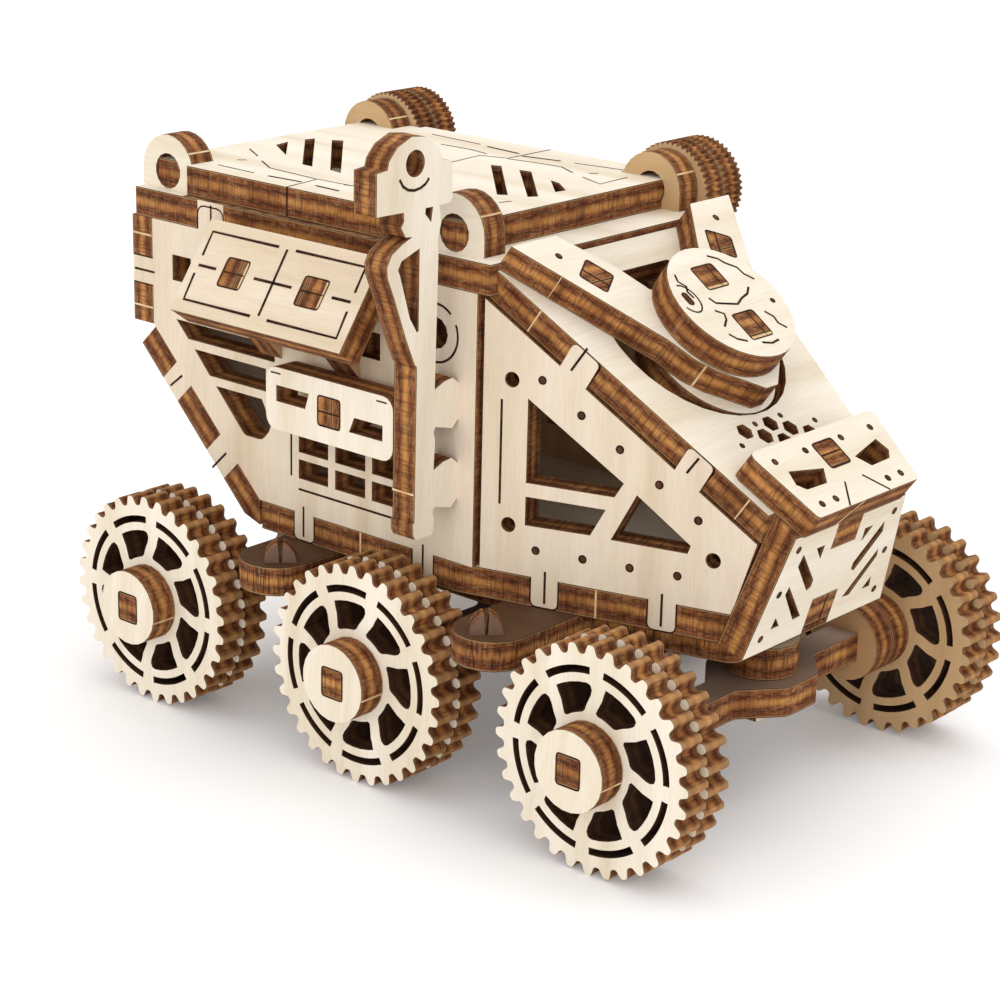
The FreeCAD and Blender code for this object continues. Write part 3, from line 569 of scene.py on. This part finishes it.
# a point on the cab side's sloping top edge, or on the end of a tab that stands up from it
def cabTop(u, onTab=False):
    x = cabX + u * math.cos(cabTurn)
    v = (slope["base"] - x * math.sin(slope["angle"])) / math.cos(slope["angle"])
    if onTab:
        return u + cabPlate["tabRise"][0], v + cabPlate["tabRise"][1], cabPlate["tabCorner"]
    return u, v


cabOutline = list(cabPlate["outline"])
for low, high in cabPlate["topTabs"]:
    cabOutline += [cabTop(high), cabTop(high, True), cabTop(low, True), cabTop(low)]
cabOutline = rounded(cabOutline + [cabTop(cabPlate["rear"])])
cabHoles = [circlePoints(u, v, cabPlate["holeRadius"]) for u, v in cabPlate["holes"]]
for side in bothSides:
    plate = plateSolid("cabSide" + side.capitalize(), planes["cab"], cabOutline,
                       cabPlate["windows"] + cabHoles, ply, cabFinish[side], side)
    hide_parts("cab_side_" + side)

# A pale disc lies in the windshield's opening, under the fork.
underDisc = {"s": -8.8, "y": -0.3, "r": 9.15}
plateSolid("openingDisc", planes["shield"],
           circlePoints(underDisc["s"], underDisc["y"], underDisc["r"], 64), [], slope["ply"], slopeFinish)

# Split prongs stand in the ears, half of each on either side of its slit.
prongs = {
    "half": [(0.18, 0.0), (2.1, 0.0), (2.1, 0.5), (1.85, 1.35), (1.3, 2.15), (0.7, 2.6), (0.35, 2.65),
             (0.25, 1.4)],
    "at": [("Rear", -17.4, -31.0), ("Middle", 19.4, -31.7)], "z": 25.1, "thick": 2.6,
}
for tag, x, y in prongs["at"]:
    face = Vector((x, y, prongs["z"])) + Vector((1, -1, 0)).normalized() * (prongs["thick"] / 2)
    for side in bothSides:
        for half, sign in (("A", 1), ("B", -1)):
            plateSolid("earProng" + tag + half + side.capitalize(), plane(face, (1, 1, 0), (0, 0, 1)),
                       [(u * sign, v) for u, v in prongs["half"]], [], prongs["thick"], prongFinish, side)
print("roof, cab sides and prongs made")

# Lines and holes on the cab sides, the walls and the hub caps.
cabMarks = {
    "pins": [(11.2, 55.1), (16.6, 51.4), (21.9, 47.85), (27.3, 44.2), (32.6, 40.5),
             (10.9, 32.8), (17.4, 32.8), (23.8, 32.8), (30.2, 32.9)],
    "slits": [[(5.7, 38.2), (5.7, 51.9)], [(12.3, 25.9), (12.3, 30.2)], [(28.3, 25.9), (28.3, 30.2)],
              [(15.0, 56.9), (17.1, 60.0)], [(30.8, 46.3), (32.3, 48.4)]],
    "kerfs": [tabKerf(10.3, 14.2, 25.3, 29.2), tabKerf(26.4, 30.3, 25.3, 29.2)],
}
wallMarks = {
    "slits": [[(-22.6, 34.1), (-22.6, 39.9)], [(-20.3, 25.9), (-20.3, 30.2)], [(1.5, 25.9), (1.5, 30.2)],
              [(-53.3, 57.4), (-49.3, 57.4)], [(-46.4, 41.8), (-44.0, 43.7)], [(-38.1, 31.7), (-35.3, 34.4)],
              [(-37.8, 65.4), (-37.8, 68.6)], [(-21.2, 32.5), (-3.7, 32.5)],
              arcPoints(3.1, 58.8, 3.8, 95, 48), arcPoints(3.1, 58.8, 3.8, 25, -95)],
    "kerfs": [tabKerf(-22.1, -18.3, 25.3, 29.2), tabKerf(-0.4, 3.4, 25.3, 29.2),
              [(-53.5, 55.5), (-49.6, 55.5)], [(-53.5, 59.4), (-49.6, 59.4)],
              tabKerf(-40.4, -35.4, 68.3, 65.0, 1.2)],
    "stubs": [pegKerf(x - 1.8, axleZ - 2.0, x + 1.8, axleZ + 2.0) for x in axles.values()],
}
pinHoles("cabPins", planes["cab"], cabMarks["pins"], radius=0.58, sides=bothSides)
burn("cabSlits", planes["cab"], cabMarks["slits"], width=0.3, sides=bothSides)
burn("wallSlits", planes["wall"], wallMarks["slits"], width=0.3, sides=bothSides)
burn("wallKerfs", planes["wall"], wallMarks["kerfs"], width=0.2, sides=bothSides)
burn("cabKerfs", planes["cab"], cabMarks["kerfs"], width=0.2, sides=bothSides)
burn("stubKerfs", planes["cap"], wallMarks["stubs"], width=0.2, sides=bothSides)

# Lines on the tilted and the lower panels.
panelMarks = {
    "frame": [[(-20.8, -1.1), (-33.2, -1.1), (-33.1, -4.6)], [(-33.1, -7.2), (-32.9, -11.0), (-20.4, -11.0)],
              [(-17.7, -1.1), (-5.3, -1.1), (-5.2, -4.7)], [(-5.1, -7.3), (-4.9, -11.0), (-17.3, -11.0)],
              [(-19.2, -1.2), (-19.0, -10.7)], [(-33.0, -6.0), (-29.7, -6.0)], [(-22.6, -6.0), (-15.7, -6.0)],
              [(-8.5, -6.0), (-5.2, -6.0)]],
    "pegSlits": [[(-28.3, -6.05), (-24.4, -6.05)], [(-14.1, -6.05), (-10.0, -6.05)]],
    "pegRims": [[(-24.5, -4.2), (-24.5, -7.9)], [(-10.1, -4.2), (-10.1, -7.9)]],
    "pegKerfs": [pegKerf(-28.4, -8.1, -24.3, -4.0), pegKerf(-14.2, -8.1, -9.9, -4.0)],
    "lowKerf": pegKerf(-12.0, 44.7, -8.0, 48.7), "lowSlit": [(-11.9, 46.6), (-8.1, 46.6)],
    "lowTicks": [[(-20.6, 50.1), (-18.8, 50.1)], [(-1.6, 50.1), (0.2, 50.1)]],
}
burn("panelFrame", planes["panel"], panelMarks["frame"], width=0.38, sides=bothSides)
burn("panelPegSlits", planes["panel"], panelMarks["pegSlits"], width=0.22, sides=bothSides)
burn("panelPegRims", planes["panel"], panelMarks["pegRims"], width=0.36, material=bareVeneer, sides=bothSides)
burn("panelPegKerfs", planes["panel"], panelMarks["pegKerfs"], width=0.2, sides=bothSides)
burn("lowPanelPegKerf", planes["lowPanel"], [panelMarks["lowKerf"]], width=0.2, sides=bothSides)
burn("lowPanelTicks", planes["lowPanel"], panelMarks["lowTicks"], width=0.2, sides=bothSides)
burn("lowPanelPegSlits", planes["lowPanel"], [panelMarks["lowSlit"]], width=0.22, sides=bothSides)

# Cracks and hairlines on the roof, and the arc under the mast's eye.
roofMarks = {
    "wedges": [[(-31.2, -19.5), (-25.4, -19.1)], [(-22.4, -19.4), (-18.0, -19.6)],
               [(-25.1, 17.8), (-18.7, 17.1)], [(-17.1, 16.1), (-11.2, 17.3)]],
    "hairlines": [[(-41.1, -19.3), (-33.9, -19.5)], [(-41.9, -15.0), (-41.0, -14.1)],
                  [(-46.4, -8.3), (-42.0, -11.0)], [(-39.1, -13.0), (-34.9, -15.6), (-25.5, -16.3)],
                  [(-20.2, -16.3), (-18.9, -15.9)],
                  [(-17.2, 13.1), (-13.3, 13.8), (-8.4, 14.2), (-4.8, 12.2)],
                  [(-2.0, 10.9), (2.5, 9.0), (2.2, 15.2)], [(-3.1, 13.5), (-2.1, 14.3)],
                  [(-8.9, 17.6), (-1.1, 18.9)], [(-36.7, 18.9), (-26.9, 18.3)],
                  [(-30.7, 14.2), (-25.4, 14.4), (-21.7, 13.7)], [(1.0, -9.7), (1.6, -8.0)]],
}
mastArc = [(-35.1, 80.4), (-34.5, 79.5), (-33.6, 78.95), (-32.5, 78.75), (-31.4, 78.9), (-30.5, 79.3),
           (-29.9, 79.9)]
burn("roofWedges", planes["roof"], roofMarks["wedges"], width=0.42)
burn("roofHairlines", planes["roof"], roofMarks["hairlines"], width=0.2)
burn("mastArc", planes["mast"], [mastArc], width=0.34)

# Lines and holes on the nose plate and its cap, which lies level with the fork.
noseMarks = {
    "platePins": mirrored([(10.5, 14.05), (11.6, 7.9), (12.5, 1.65)]),
    "tabGapShade": [(0.6, 0.6), (0.6, 4.4)],
    "capPins": acrossPoints([(9.55, 10.3), (9.5, 3.85), (16.95, 8.6), (16.95, 5.7)]),
    "capLines": [[(15.3, 1.9), (18.5, 4.4)], [(15.3, -1.9), (18.5, -4.4)]],
    "capPegSlit": [(11.0, -2.0), (11.0, 2.0)], "capPegKerf": pegKerf(9.05, -2.1, 13.05, 2.1),
}
pinHoles("nosePlatePins", planes["nose"], noseMarks["platePins"], radius=0.52)
# a dark strip of painted shade in the gap beside the floor's tab
burn("noseTabSlit", planes["nose"], [noseMarks["tabGapShade"]], width=0.25)
pinHoles("noseCapPins", planes["fork"], noseMarks["capPins"], radius=0.5)
burn("noseCapLines", planes["fork"], noseMarks["capLines"], width=0.25)
burn("noseCapPegSlit", planes["fork"], [noseMarks["capPegSlit"]], width=0.22)
burn("noseCapPegKerf", planes["fork"], [noseMarks["capPegKerf"]], width=0.2)

# Lines and holes on the windshield, the fork and the globe disc; the shores are a made-up coast.
slopeMarks = {
    "shieldPins": acrossPoints([(1.85, 2.7), (4.1, 7.8)]),
    "forkPins": acrossPoints([(-27.0, 16.2)]),
    "forkPegSlits": [[(-24.9, 13.6), (-21.6, 11.5)], [(-24.3, -14.4), (-21.0, -12.3)]],
    "discPegKerfs": [pegKerf(-17.8, -2.15, -14.0, 2.15), pegKerf(-9.6, -2.15, -5.3, 2.15)],
    "discPegSlits": [[(-17.7, 0.9), (-14.1, 0.9)], [(-9.5, 0.9), (-5.4, 0.9)]],
    "discPegRims": [[(-14.25, -2.0), (-14.25, 2.0)], [(-5.55, -2.0), (-5.55, 2.0)]],
    "shores": [[(-19.0, 2.6), (-18.2, 4.0), (-17.3, 4.6), (-16.2, 6.0), (-15.0, 6.2), (-13.8, 7.2)],
               [(-17.5, -5.6), (-16.4, -6.1), (-15.4, -5.4), (-14.6, -6.0), (-13.5, -5.8)],
               [(-12.9, -3.4), (-11.9, -2.9), (-11.4, -1.2), (-10.9, 0.6), (-11.6, 2.2), (-12.0, 3.8),
                (-12.9, 5.0)],
               [(-10.9, -4.2), (-10.1, -3.1), (-9.2, -3.6), (-8.3, -4.9)],
               [(-8.8, 4.0), (-7.7, 4.8), (-6.6, 4.6), (-5.6, 5.4)],
               [(-4.6, -1.0), (-4.1, 0.6), (-4.3, 2.2)], [(-7.1, -5.3), (-6.1, -4.6), (-5.4, -3.2)]],
    "discPins": [(-13.6, -6.9), (-13.1, -6.9), (-14.1, -6.9)],
}
forkPeg = {"s": -22.8, "y": 12.9, "half": 2, "turn": math.atan2(-12.0, 19.0), "corner": 0.45}
crater = {"s": -13.6, "y": -6.9, "long": 2.3, "wide": 1.7}
pinHoles("shieldPins", planes["shield"], slopeMarks["shieldPins"], radius=0.42)
pinHoles("forkPins", planes["fork"], slopeMarks["forkPins"], radius=0.52)
burn("forkPegSlits", planes["fork"], slopeMarks["forkPegSlits"], width=0.22)
burn("discPegKerfs", planes["globe"], slopeMarks["discPegKerfs"], width=0.18)
for tag, sign in (("Right", -1), ("Left", 1)):
    corners = []
    for u, v in ((-1, -1), (1, -1), (1, 1), (-1, 1)):
        corner = Matrix.Rotation(forkPeg["turn"], 2) @ Vector((u, v)) * forkPeg["half"]
        corners.append((forkPeg["s"] + corner.x, sign * (forkPeg["y"] + corner.y), forkPeg["corner"]))
    ring = rounded(corners, 3)
    burn("forkPegKerf" + tag, planes["fork"], [ring + ring[:1]], width=0.2)
burn("discPegSlits", planes["globe"], slopeMarks["discPegSlits"], width=0.2)
burn("discPegRims", planes["globe"], slopeMarks["discPegRims"], width=0.36, material=bareVeneer)
burn("discShores", planes["globe"], slopeMarks["shores"], width=0.3)
craterRim = [(crater["s"] + crater["long"] * u, crater["y"] + crater["wide"] * v)
             for u, v in arcPoints(0, 0, 1, -60, 180, 12)]
burn("discCrater", planes["globe"], [craterRim], width=0.22)
pinHoles("discPins", planes["globe"], slopeMarks["discPins"], radius=0.6)
pinHoles("discPin", planes["globe"], [(-10.0, 7.1)], radius=0.42)
print("burnt lines and pin holes made")

# Light marks across the cut edges, where small bridges held each piece in its
# sheet; the mark on the mast is a painted highlight on its edge instead. s and y lie on the slope, and level
# is the height above it.
bridgeMarks = {
    "width": 0.26, "roundWidth": 0.24, "heights": (-0.05, 0.03),
    "floor": {"x": -9.7, "cabU": 19.4, "z": (25.3, 29.1)},
    "shield": {"s": (-22.5, 11.2), "half": 23.7, "lean": -0.2144, "levels": (58.7, 62.35)},
    "fork": {"at": [(-24.0, 18.45, -0.534, -0.8456), (-6.0, 7.7, 0.6, -0.8)], "levels": (62.5, 66.2)},
    "wallRear": {"x": (-53.5, -49.7), "z": (62.5, 52.3)},
    "globe": {"s": -11.5, "y": -9.26, "levels": (66.4, 70.05)},
    "noseCap": {"s": 18.55, "y": (-1.0, -4.0), "levels": (66.2, 62.6)},
    "mast": {"x": (3.5, 7.1), "y": -31.86, "z": 40.1},
    "hubCap": {"turn": -12, "r": 5.17, "y": (35.2, 38.9)},
    "ring": {"turns": (("rear", -1, 35), ("rear", 1, 35), ("front", -1, 32), ("front", 1, 30)), "r": 4.97,
             "y": (17.9, 21.7)},
}


# each mark is its two ends and the way that the edge faces
def bridges(name, marks, width):
    made = bmesh.new()
    for start, stop, out in marks:
        start, stop, out = Vector(start), Vector(stop), Vector(out).normalized()
        side = (stop - start).cross(out).normalized() * (width / 2)
        low = [start + side, stop + side, stop - side, start - side]
        verts = [made.verts.new(mm(*(p + out * h))) for h in bridgeMarks["heights"] for p in low]
        made.faces.new(verts[3::-1])
        made.faces.new(verts[4:])
        for i in range(4):
            j = (i + 1) % 4
            made.faces.new((verts[i], verts[j], verts[j + 4], verts[i + 4]))
    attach(closedPiece(name, made, bareVeneer), "buggy")


def onSlope(s, y, level):
    return slopeDown * s + slopeNormal * level + Vector((0, y, 0))


def straightMarks():
    cabStart, cabAlong, cabUp, cabOut = planes["cab"]
    at = bridgeMarks["floor"]
    foot = cabStart + cabAlong * at["cabU"]
    marks = [[(at["x"], -wallY, at["z"][0]), (at["x"], -wallY, at["z"][1]), (0, -1, 0)],
             [(foot.x, foot.y, at["z"][0]), (foot.x, foot.y, at["z"][1]), cabOut]]
    at = bridgeMarks["shield"]
    for s in at["s"]:
        x = s * math.cos(slope["angle"]) + (slope["base"] + slope["ply"]) * math.sin(slope["angle"])
        halfWide = at["half"] - (x - cabX) * math.tan(cabTurn)
        marks.append([onSlope(s, -halfWide, level) for level in at["levels"]]
                     + [slopeDown * at["lean"] + Vector((0, -1, 0))])
    at = bridgeMarks["fork"]
    for s, y, down, out in at["at"]:
        marks.append([onSlope(s, -y, level) for level in at["levels"]]
                     + [slopeDown * down + Vector((0, out, 0))])
    at = bridgeMarks["wallRear"]
    for z in at["z"]:
        marks.append([(at["x"][0], -wallY, z), (at["x"][1], -wallY, z), (0, -1, 0)])
    # so far for the right side, and mirrored for the left
    marks += [[Vector((p[0], -p[1], p[2])) for p in mark] for mark in marks]
    at = bridgeMarks["globe"]
    marks.append([onSlope(at["s"], at["y"], level) for level in at["levels"]] + [(0, -1, 0)])
    at = bridgeMarks["noseCap"]
    marks.append([onSlope(at["s"], y, level) for y, level in zip(at["y"], at["levels"])] + [slopeDown])
    # the mast's mark is a painted highlight where its edge steps
    at = bridgeMarks["mast"]
    marks.append([(x, at["y"], at["z"]) for x in at["x"]] + [(0, -1, 0)])
    return marks


def roundMarks():
    at = [(x, axleZ, sign, bridgeMarks["hubCap"]["turn"], bridgeMarks["hubCap"])
          for x in axles.values() for sign in (-1, 1)]
    at += [(rings[tag], ringZ, sign, turn, bridgeMarks["ring"])
           for tag, sign, turn in bridgeMarks["ring"]["turns"]]
    marks = []
    for x, z, sign, turn, size in at:
        out = Vector((math.cos(math.radians(turn)), 0, math.sin(math.radians(turn))))
        rim = Vector((x, 0, z)) + out * size["r"]
        marks.append([rim + Vector((0, sign * y, 0)) for y in size["y"]] + [out])
    return marks


bridges("bridgeMarks", straightMarks(), bridgeMarks["width"])
bridges("roundBridgeMarks", roundMarks(), bridgeMarks["roundWidth"])
print("bridge marks made")

# Wheel discs: a toothed rim with rounded teeth, eight leaning windows, eight slots
# in the rim and a round bore. Each wheel has two, set half a tooth apart.
wheel = {
    "teeth": 32, "tip": 14.8, "root": 13.5, "flatness": 1.9, "bore": 2.85, "spokes": 8,
    "toothTurn": {"rear": 3.0, "middle": 1.5, "front": 1.5},
    "windowTurn": {"rear": 19.6, "middle": 7.2, "front": 19.4},
    "window": [(10.0, 13.5), (10.0, 8), (10.0, 0), (10.0, -8), (10.0, -15), (9.8, -18.2), (9.2, -19.6),
               (8.5, -18.6), (7.3, -14), (6.5, -10.8), (6.25, -7.5), (6.2, -2), (6.2, 5), (6.2, 12),
               (6.2, 16.5), (6.5, 19.2), (7.2, 17.2), (8.3, 14.6), (9.2, 14.2)],
    "rimSlot": (11.1, 12.05, 17.4),
}
rimSockets = [("Teeth", "Int"), ("Tooth Turn", "Float"), ("Tip Radius", "Float"), ("Root Radius", "Float"),
              ("Flatness", "Float"), ("Depth", "Float"), ("Material", "Material")]


# a window and a rim slot as closed loops, for one spoke; points are radius and degrees
def cutoutPlan():
    low, high, half = wheel["rimSlot"]
    turns = [half * (k / 8 - 1) for k in range(17)]
    rimSlot = [(low, a) for a in turns] + [(high, a) for a in reversed(turns)]
    points = []
    edges = []
    for ring in (wheel["window"], rimSlot):
        first = len(points)
        points.extend((r * math.cos(math.radians(a)), r * math.sin(math.radians(a))) for r, a in ring)
        edges.extend((first + i, first + (i + 1) % len(ring)) for i in range(len(ring)))
    return newPiece("wheelCutouts", planMesh("wheelCutouts", points, edges))


# a circle drawn out into teeth, whose tips and roots a greater flatness makes broader
def toothedRim(tree, given, steps):
    fineness = addNode(tree, "ShaderNodeMath", {0: given["Teeth"], 1: steps}, operation="MULTIPLY")
    ring = addNode(tree, "GeometryNodeCurvePrimitiveCircle", {"Resolution": fineness, "Radius": 1.0})
    at = addNode(tree, "GeometryNodeInputPosition")
    where = addNode(tree, "ShaderNodeSeparateXYZ", {0: at}).outputs
    angle = addNode(tree, "ShaderNodeMath", {0: where[1], 1: where[0]}, operation="ARCTAN2")
    turned = addNode(tree, "ShaderNodeMath", {0: angle, 1: given["Tooth Turn"]}, operation="SUBTRACT")
    turned = addNode(tree, "ShaderNodeMath", {0: turned, 1: given["Teeth"]}, operation="MULTIPLY")
    wave = addNode(tree, "ShaderNodeMath", {0: turned}, operation="COSINE")
    wave = addNode(tree, "ShaderNodeMath", {0: wave, 1: given["Flatness"]}, operation="MULTIPLY")
    wave = addNode(tree, "ShaderNodeMath", {0: wave}, operation="TANH")
    most = addNode(tree, "ShaderNodeMath", {0: given["Flatness"]}, operation="TANH")
    wave = addNode(tree, "ShaderNodeMath", {0: wave, 1: most}, operation="DIVIDE")
    radius = addNode(tree, "ShaderNodeMapRange", {"Value": wave, "From Min": -1.0, "From Max": 1.0,
                                                  "To Min": given["Root Radius"],
                                                  "To Max": given["Tip Radius"]})
    at = addNode(tree, "ShaderNodeVectorMath", {0: at, "Scale": radius}, operation="SCALE")
    return addNode(tree, "GeometryNodeSetPosition", {"Geometry": ring, "Position": at})


# closed curves filled and drawn up into a closed solid
def thickened(tree, curves, depth):
    face = addNode(tree, "GeometryNodeFillCurve", {"Curve": curves})
    lift = addNode(tree, "ShaderNodeCombineXYZ", {2: depth})
    raised = addNode(tree, "GeometryNodeExtrudeMesh", {"Mesh": face, "Offset": lift, "Individual": False})
    under = addNode(tree, "GeometryNodeFlipFaces", {"Mesh": face})
    both = addNode(tree, "GeometryNodeJoinGeometry", {0: raised})
    tree.links.new(under.outputs[0], both.inputs[0])
    return addNode(tree, "GeometryNodeMergeByDistance", {"Geometry": both, "Distance": 0.002})


def makeDiscTree():
    tree, given = newTree("toothedDisc", rimSockets + [("Bore Radius", "Float"), ("Cutouts", "Object"),
                                                       ("Spokes", "Int"), ("Window Turn", "Float")])
    rim = toothedRim(tree, given, 16.0)
    bore = addNode(tree, "GeometryNodeCurvePrimitiveCircle", {"Resolution": 40,
                                                              "Radius": given["Bore Radius"]})
    shapes = addNode(tree, "GeometryNodeObjectInfo", {"Object": given["Cutouts"]}).outputs["Geometry"]
    loops = addNode(tree, "GeometryNodeMeshToCurve", {"Mesh": shapes})
    hub = addNode(tree, "GeometryNodePoints", {"Count": given["Spokes"]})
    spoke = addNode(tree, "GeometryNodeInputIndex")
    step = addNode(tree, "ShaderNodeMath", {0: 2 * math.pi, 1: given["Spokes"]}, operation="DIVIDE")
    turn = addNode(tree, "ShaderNodeMath", {0: spoke, 1: step, 2: given["Window Turn"]},
                   operation="MULTIPLY_ADD")
    turn = addNode(tree, "ShaderNodeCombineXYZ", {2: turn})
    spread = addNode(tree, "GeometryNodeInstanceOnPoints", {"Points": hub, "Instance": loops,
                                                            "Rotation": turn})
    spread = addNode(tree, "GeometryNodeRealizeInstances", {0: spread})
    curves = addNode(tree, "GeometryNodeJoinGeometry")
    for part in (rim, bore, spread):
        tree.links.new(part.outputs[0], curves.inputs[0])
    closed = thickened(tree, curves, given["Depth"])
    away = addNode(tree, "GeometryNodeInputPosition")
    away = addNode(tree, "ShaderNodeVectorMath", {0: away, 1: (1.0, 1.0, 0.0)}, operation="MULTIPLY")
    reach = addNode(tree, "ShaderNodeVectorMath", {0: away}, operation="LENGTH")
    # painted highlight: tooth tips keep a paler end than the notches between them
    tipLightFrom = addNode(tree, "ShaderNodeMapRange", {"Value": 0.775, "To Min": given["Root Radius"],
                                                    "To Max": given["Tip Radius"]})
    # painted shade: the walls of the windows and slots are darker than the rim
    darkFrom = addNode(tree, "ShaderNodeMath", {0: given["Root Radius"], 1: 0.5}, operation="SUBTRACT")
    darkTo = addNode(tree, "ShaderNodeMath", {0: given["Root Radius"], 1: 0.7}, operation="SUBTRACT")
    for name, low, high in (("tip", tipLightFrom, given["Tip Radius"]), ("inside", darkFrom, darkTo)):
        share = addNode(tree, "ShaderNodeMapRange", {"Value": reach, "From Min": low, "From Max": high})
        closed = addNode(tree, "GeometryNodeStoreNamedAttribute", {"Geometry": closed, "Name": name,
                                                                   "Value": share},
                         data_type="FLOAT", domain="POINT")
    return finishTree(tree, closed, given["Material"])


discTree = makeDiscTree()
cutouts = cutoutPlan()
# pale faces, and teeth browned by the beam
discFinish = {
    "outer": plyMaterial("birch ply, outer wheel discs, scorched teeth", (0, 1, 0), discFaces["outer"],
                         (0, 0, 1)),
    "inner": plyMaterial("birch ply, inner wheel discs, scorched teeth", (0, 1, 0), discFaces["inner"],
                         (0, 0, 1), tone=0.1),
}
halfTooth = {"outer": 0.0, "inner": 180.0 / wheel["teeth"]}
for axle, x in axles.items():
    for row, tread in (("outer", "tread_"), ("inner", "tread_inner_")):
        values = {"Teeth": wheel["teeth"],
                  "Tooth Turn": math.radians(90 + wheel["toothTurn"][axle] + halfTooth[row]),
                  "Tip Radius": wheel["tip"], "Root Radius": wheel["root"], "Flatness": wheel["flatness"],
                  "Bore Radius": wheel["bore"], "Cutouts": cutouts, "Spokes": wheel["spokes"],
                  "Window Turn": math.radians(wheel["windowTurn"][axle]), "Depth": ply,
                  "Material": discFinish[row]}
        at = plane((x, -discFaces[row], axleZ), (1, 0, 0), (0, 0, 1))
        for side in bothSides:
            name = row + "Disc_" + axle + "_" + side
            disc = runTree(name, discTree, values, planMesh(name, []))
            settle(disc, onSide(at, side))
            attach(disc, "wheel_" + axle + "_" + side)
            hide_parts(tread + axle + "_" + side)
bpy.data.objects.remove(cutouts)
print("wheel discs made")

# Knobs: two ridged discs each, beyond the roof rings on the left. They sit a
# little lower than the rings' middles, as they are seen.
knob = {"ridges": 48, "tip": 6.75, "root": 6.33, "z": 70.5, "y": (21.8, 25.8, 29.8), "gap": 0.01,
        "turns": (0.0, 3.0), "flatness": 0.01}


def makeKnobTree():
    tree, given = newTree("ridgedDisc", rimSockets)
    rim = toothedRim(tree, given, 8.0)
    return finishTree(tree, thickened(tree, rim, given["Depth"]), given["Material"])


knobTree = makeKnobTree()
# mostly cut edge, so it reads brown and matt
knobFinish = plyMaterial("birch ply, ridged knobs", (0, 1, 0), knob["y"][0], (1, 0, 0), char=0.6)
for tag, x in rings.items():
    for number in (0, 1):
        low = knob["y"][number] + knob["gap"]
        high = knob["y"][number + 1] - knob["gap"]
        values = {"Teeth": knob["ridges"], "Tooth Turn": math.radians(knob["turns"][number]),
                  "Tip Radius": knob["tip"], "Root Radius": knob["root"], "Flatness": knob["flatness"],
                  "Depth": high - low, "Material": knobFinish}
        name = "knobDisc_" + tag + "_" + str(number + 1)
        disc = runTree(name, knobTree, values, planMesh(name, []))
        settle(disc, plane((x, high, knob["z"]), (1, 0, 0), (0, 0, 1)))
        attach(disc, "buggy")
        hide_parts("knob_" + tag)
print("knobs made")

# Camera, floor and light. The camera stands where the photograph was taken from.
view = {"at": (218.18, -261.69, 143.50), "azimuth": 40.58, "elevation": 18.40, "roll": 1.36, "lens": 94.9}


def aimCamera():
    az, el, roll = (math.radians(view[k]) for k in ("azimuth", "elevation", "roll"))
    forward = Vector((-math.sin(az) * math.cos(el), math.cos(az) * math.cos(el), -math.sin(el)))
    level = Vector((math.cos(az), math.sin(az), 0))
    above = level.cross(forward)
    right = level * math.cos(roll) + above * math.sin(roll)
    up = above * math.cos(roll) - level * math.sin(roll)
    data = bpy.data.cameras.new("photoView")
    data.sensor_fit = "HORIZONTAL"
    data.sensor_width = 36
    data.lens = view["lens"]
    data.clip_start = 0.01
    camera = newPiece("photoView", data)
    turn = Matrix((right, up, -forward)).transposed().to_4x4()
    camera.matrix_world = Matrix.Translation(mm(*view["at"])) @ turn
    bpy.context.scene.camera = camera


# sizes and places here are metres; the far soft lamps leave faint shadows
studio = {"floor": "F7F6F5", "floorSize": 4.0, "floorGlow": 0.1, "worldLight": 0.85, "aim": (0, 0, 0.03),
          "lamps": [("keyLamp", (0.22, 0.55, 1.98), 2.0, 13.5), ("fillLamp", (0.92, -1.72, 0.79), 1.76, 11.6),
                    ("softLamp", (-1.32, -1.1, 0.99), 1.76, 3.9)]}


def buildFloor():
    mesh = bpy.data.meshes.new("paleFloor")
    s = studio["floorSize"]
    mesh.from_pydata([(-s, -s, 0), (s, -s, 0), (s, s, 0), (-s, s, 0)], [], [(0, 1, 2, 3)])
    material = bpy.data.materials.new("matt white floor")
    material.use_nodes = True
    tree = material.node_tree
    tree.nodes.clear()
    # it glows a little for the camera alone, so that it meets the white of the background
    path = addNode(tree, "ShaderNodeLightPath").outputs
    seen = addNode(tree, "ShaderNodeMath", {0: path["Is Camera Ray"], 1: path["Is Glossy Ray"]},
                   operation="MAXIMUM")
    glow = addNode(tree, "ShaderNodeMath", {0: seen, 1: studio["floorGlow"]}, operation="MULTIPLY")
    shader = addNode(tree, "ShaderNodeBsdfPrincipled", {"Base Color": hexColour(studio["floor"]),
                                                        "Roughness": 0.9, "Emission Strength": glow,
                                                        "Emission Color": hexColour("FFFFFF")})
    addNode(tree, "ShaderNodeOutputMaterial", {"Surface": shader})
    mesh.materials.append(material)
    newPiece("paleFloor", mesh)


def buildLight():
    world = bpy.data.worlds.new("softWorld")
    bpy.context.scene.world = world
    world.use_nodes = True
    tree = world.node_tree
    tree.nodes.clear()
    path = addNode(tree, "ShaderNodeLightPath").outputs
    seen = addNode(tree, "ShaderNodeMath", {0: path["Is Camera Ray"], 1: path["Is Glossy Ray"]},
                   operation="MAXIMUM")
    seen = addNode(tree, "ShaderNodeMath", {0: seen, 1: path["Is Transmission Ray"]}, operation="MAXIMUM")
    lit = addNode(tree, "ShaderNodeBackground", {"Color": hexColour("FFFFFF"),
                                                 "Strength": studio["worldLight"]})
    plain = addNode(tree, "ShaderNodeBackground", {"Color": hexColour("FFFFFF"), "Strength": 1.0})
    both = addNode(tree, "ShaderNodeMixShader", {0: seen, 1: lit, 2: plain})
    addNode(tree, "ShaderNodeOutputWorld", {"Surface": both})
    for name, at, size, power in studio["lamps"]:
        data = bpy.data.lights.new(name, "AREA")
        data.size = size
        data.energy = power
        lamp = newPiece(name, data)
        lamp.location = at
        lamp.rotation_euler = (Vector(studio["aim"]) - Vector(at)).to_track_quat("-Z", "Y").to_euler()
    bpy.context.scene.view_settings.view_transform = "Standard"


aimCamera()
buildFloor()
buildLight()
print("camera and light set")
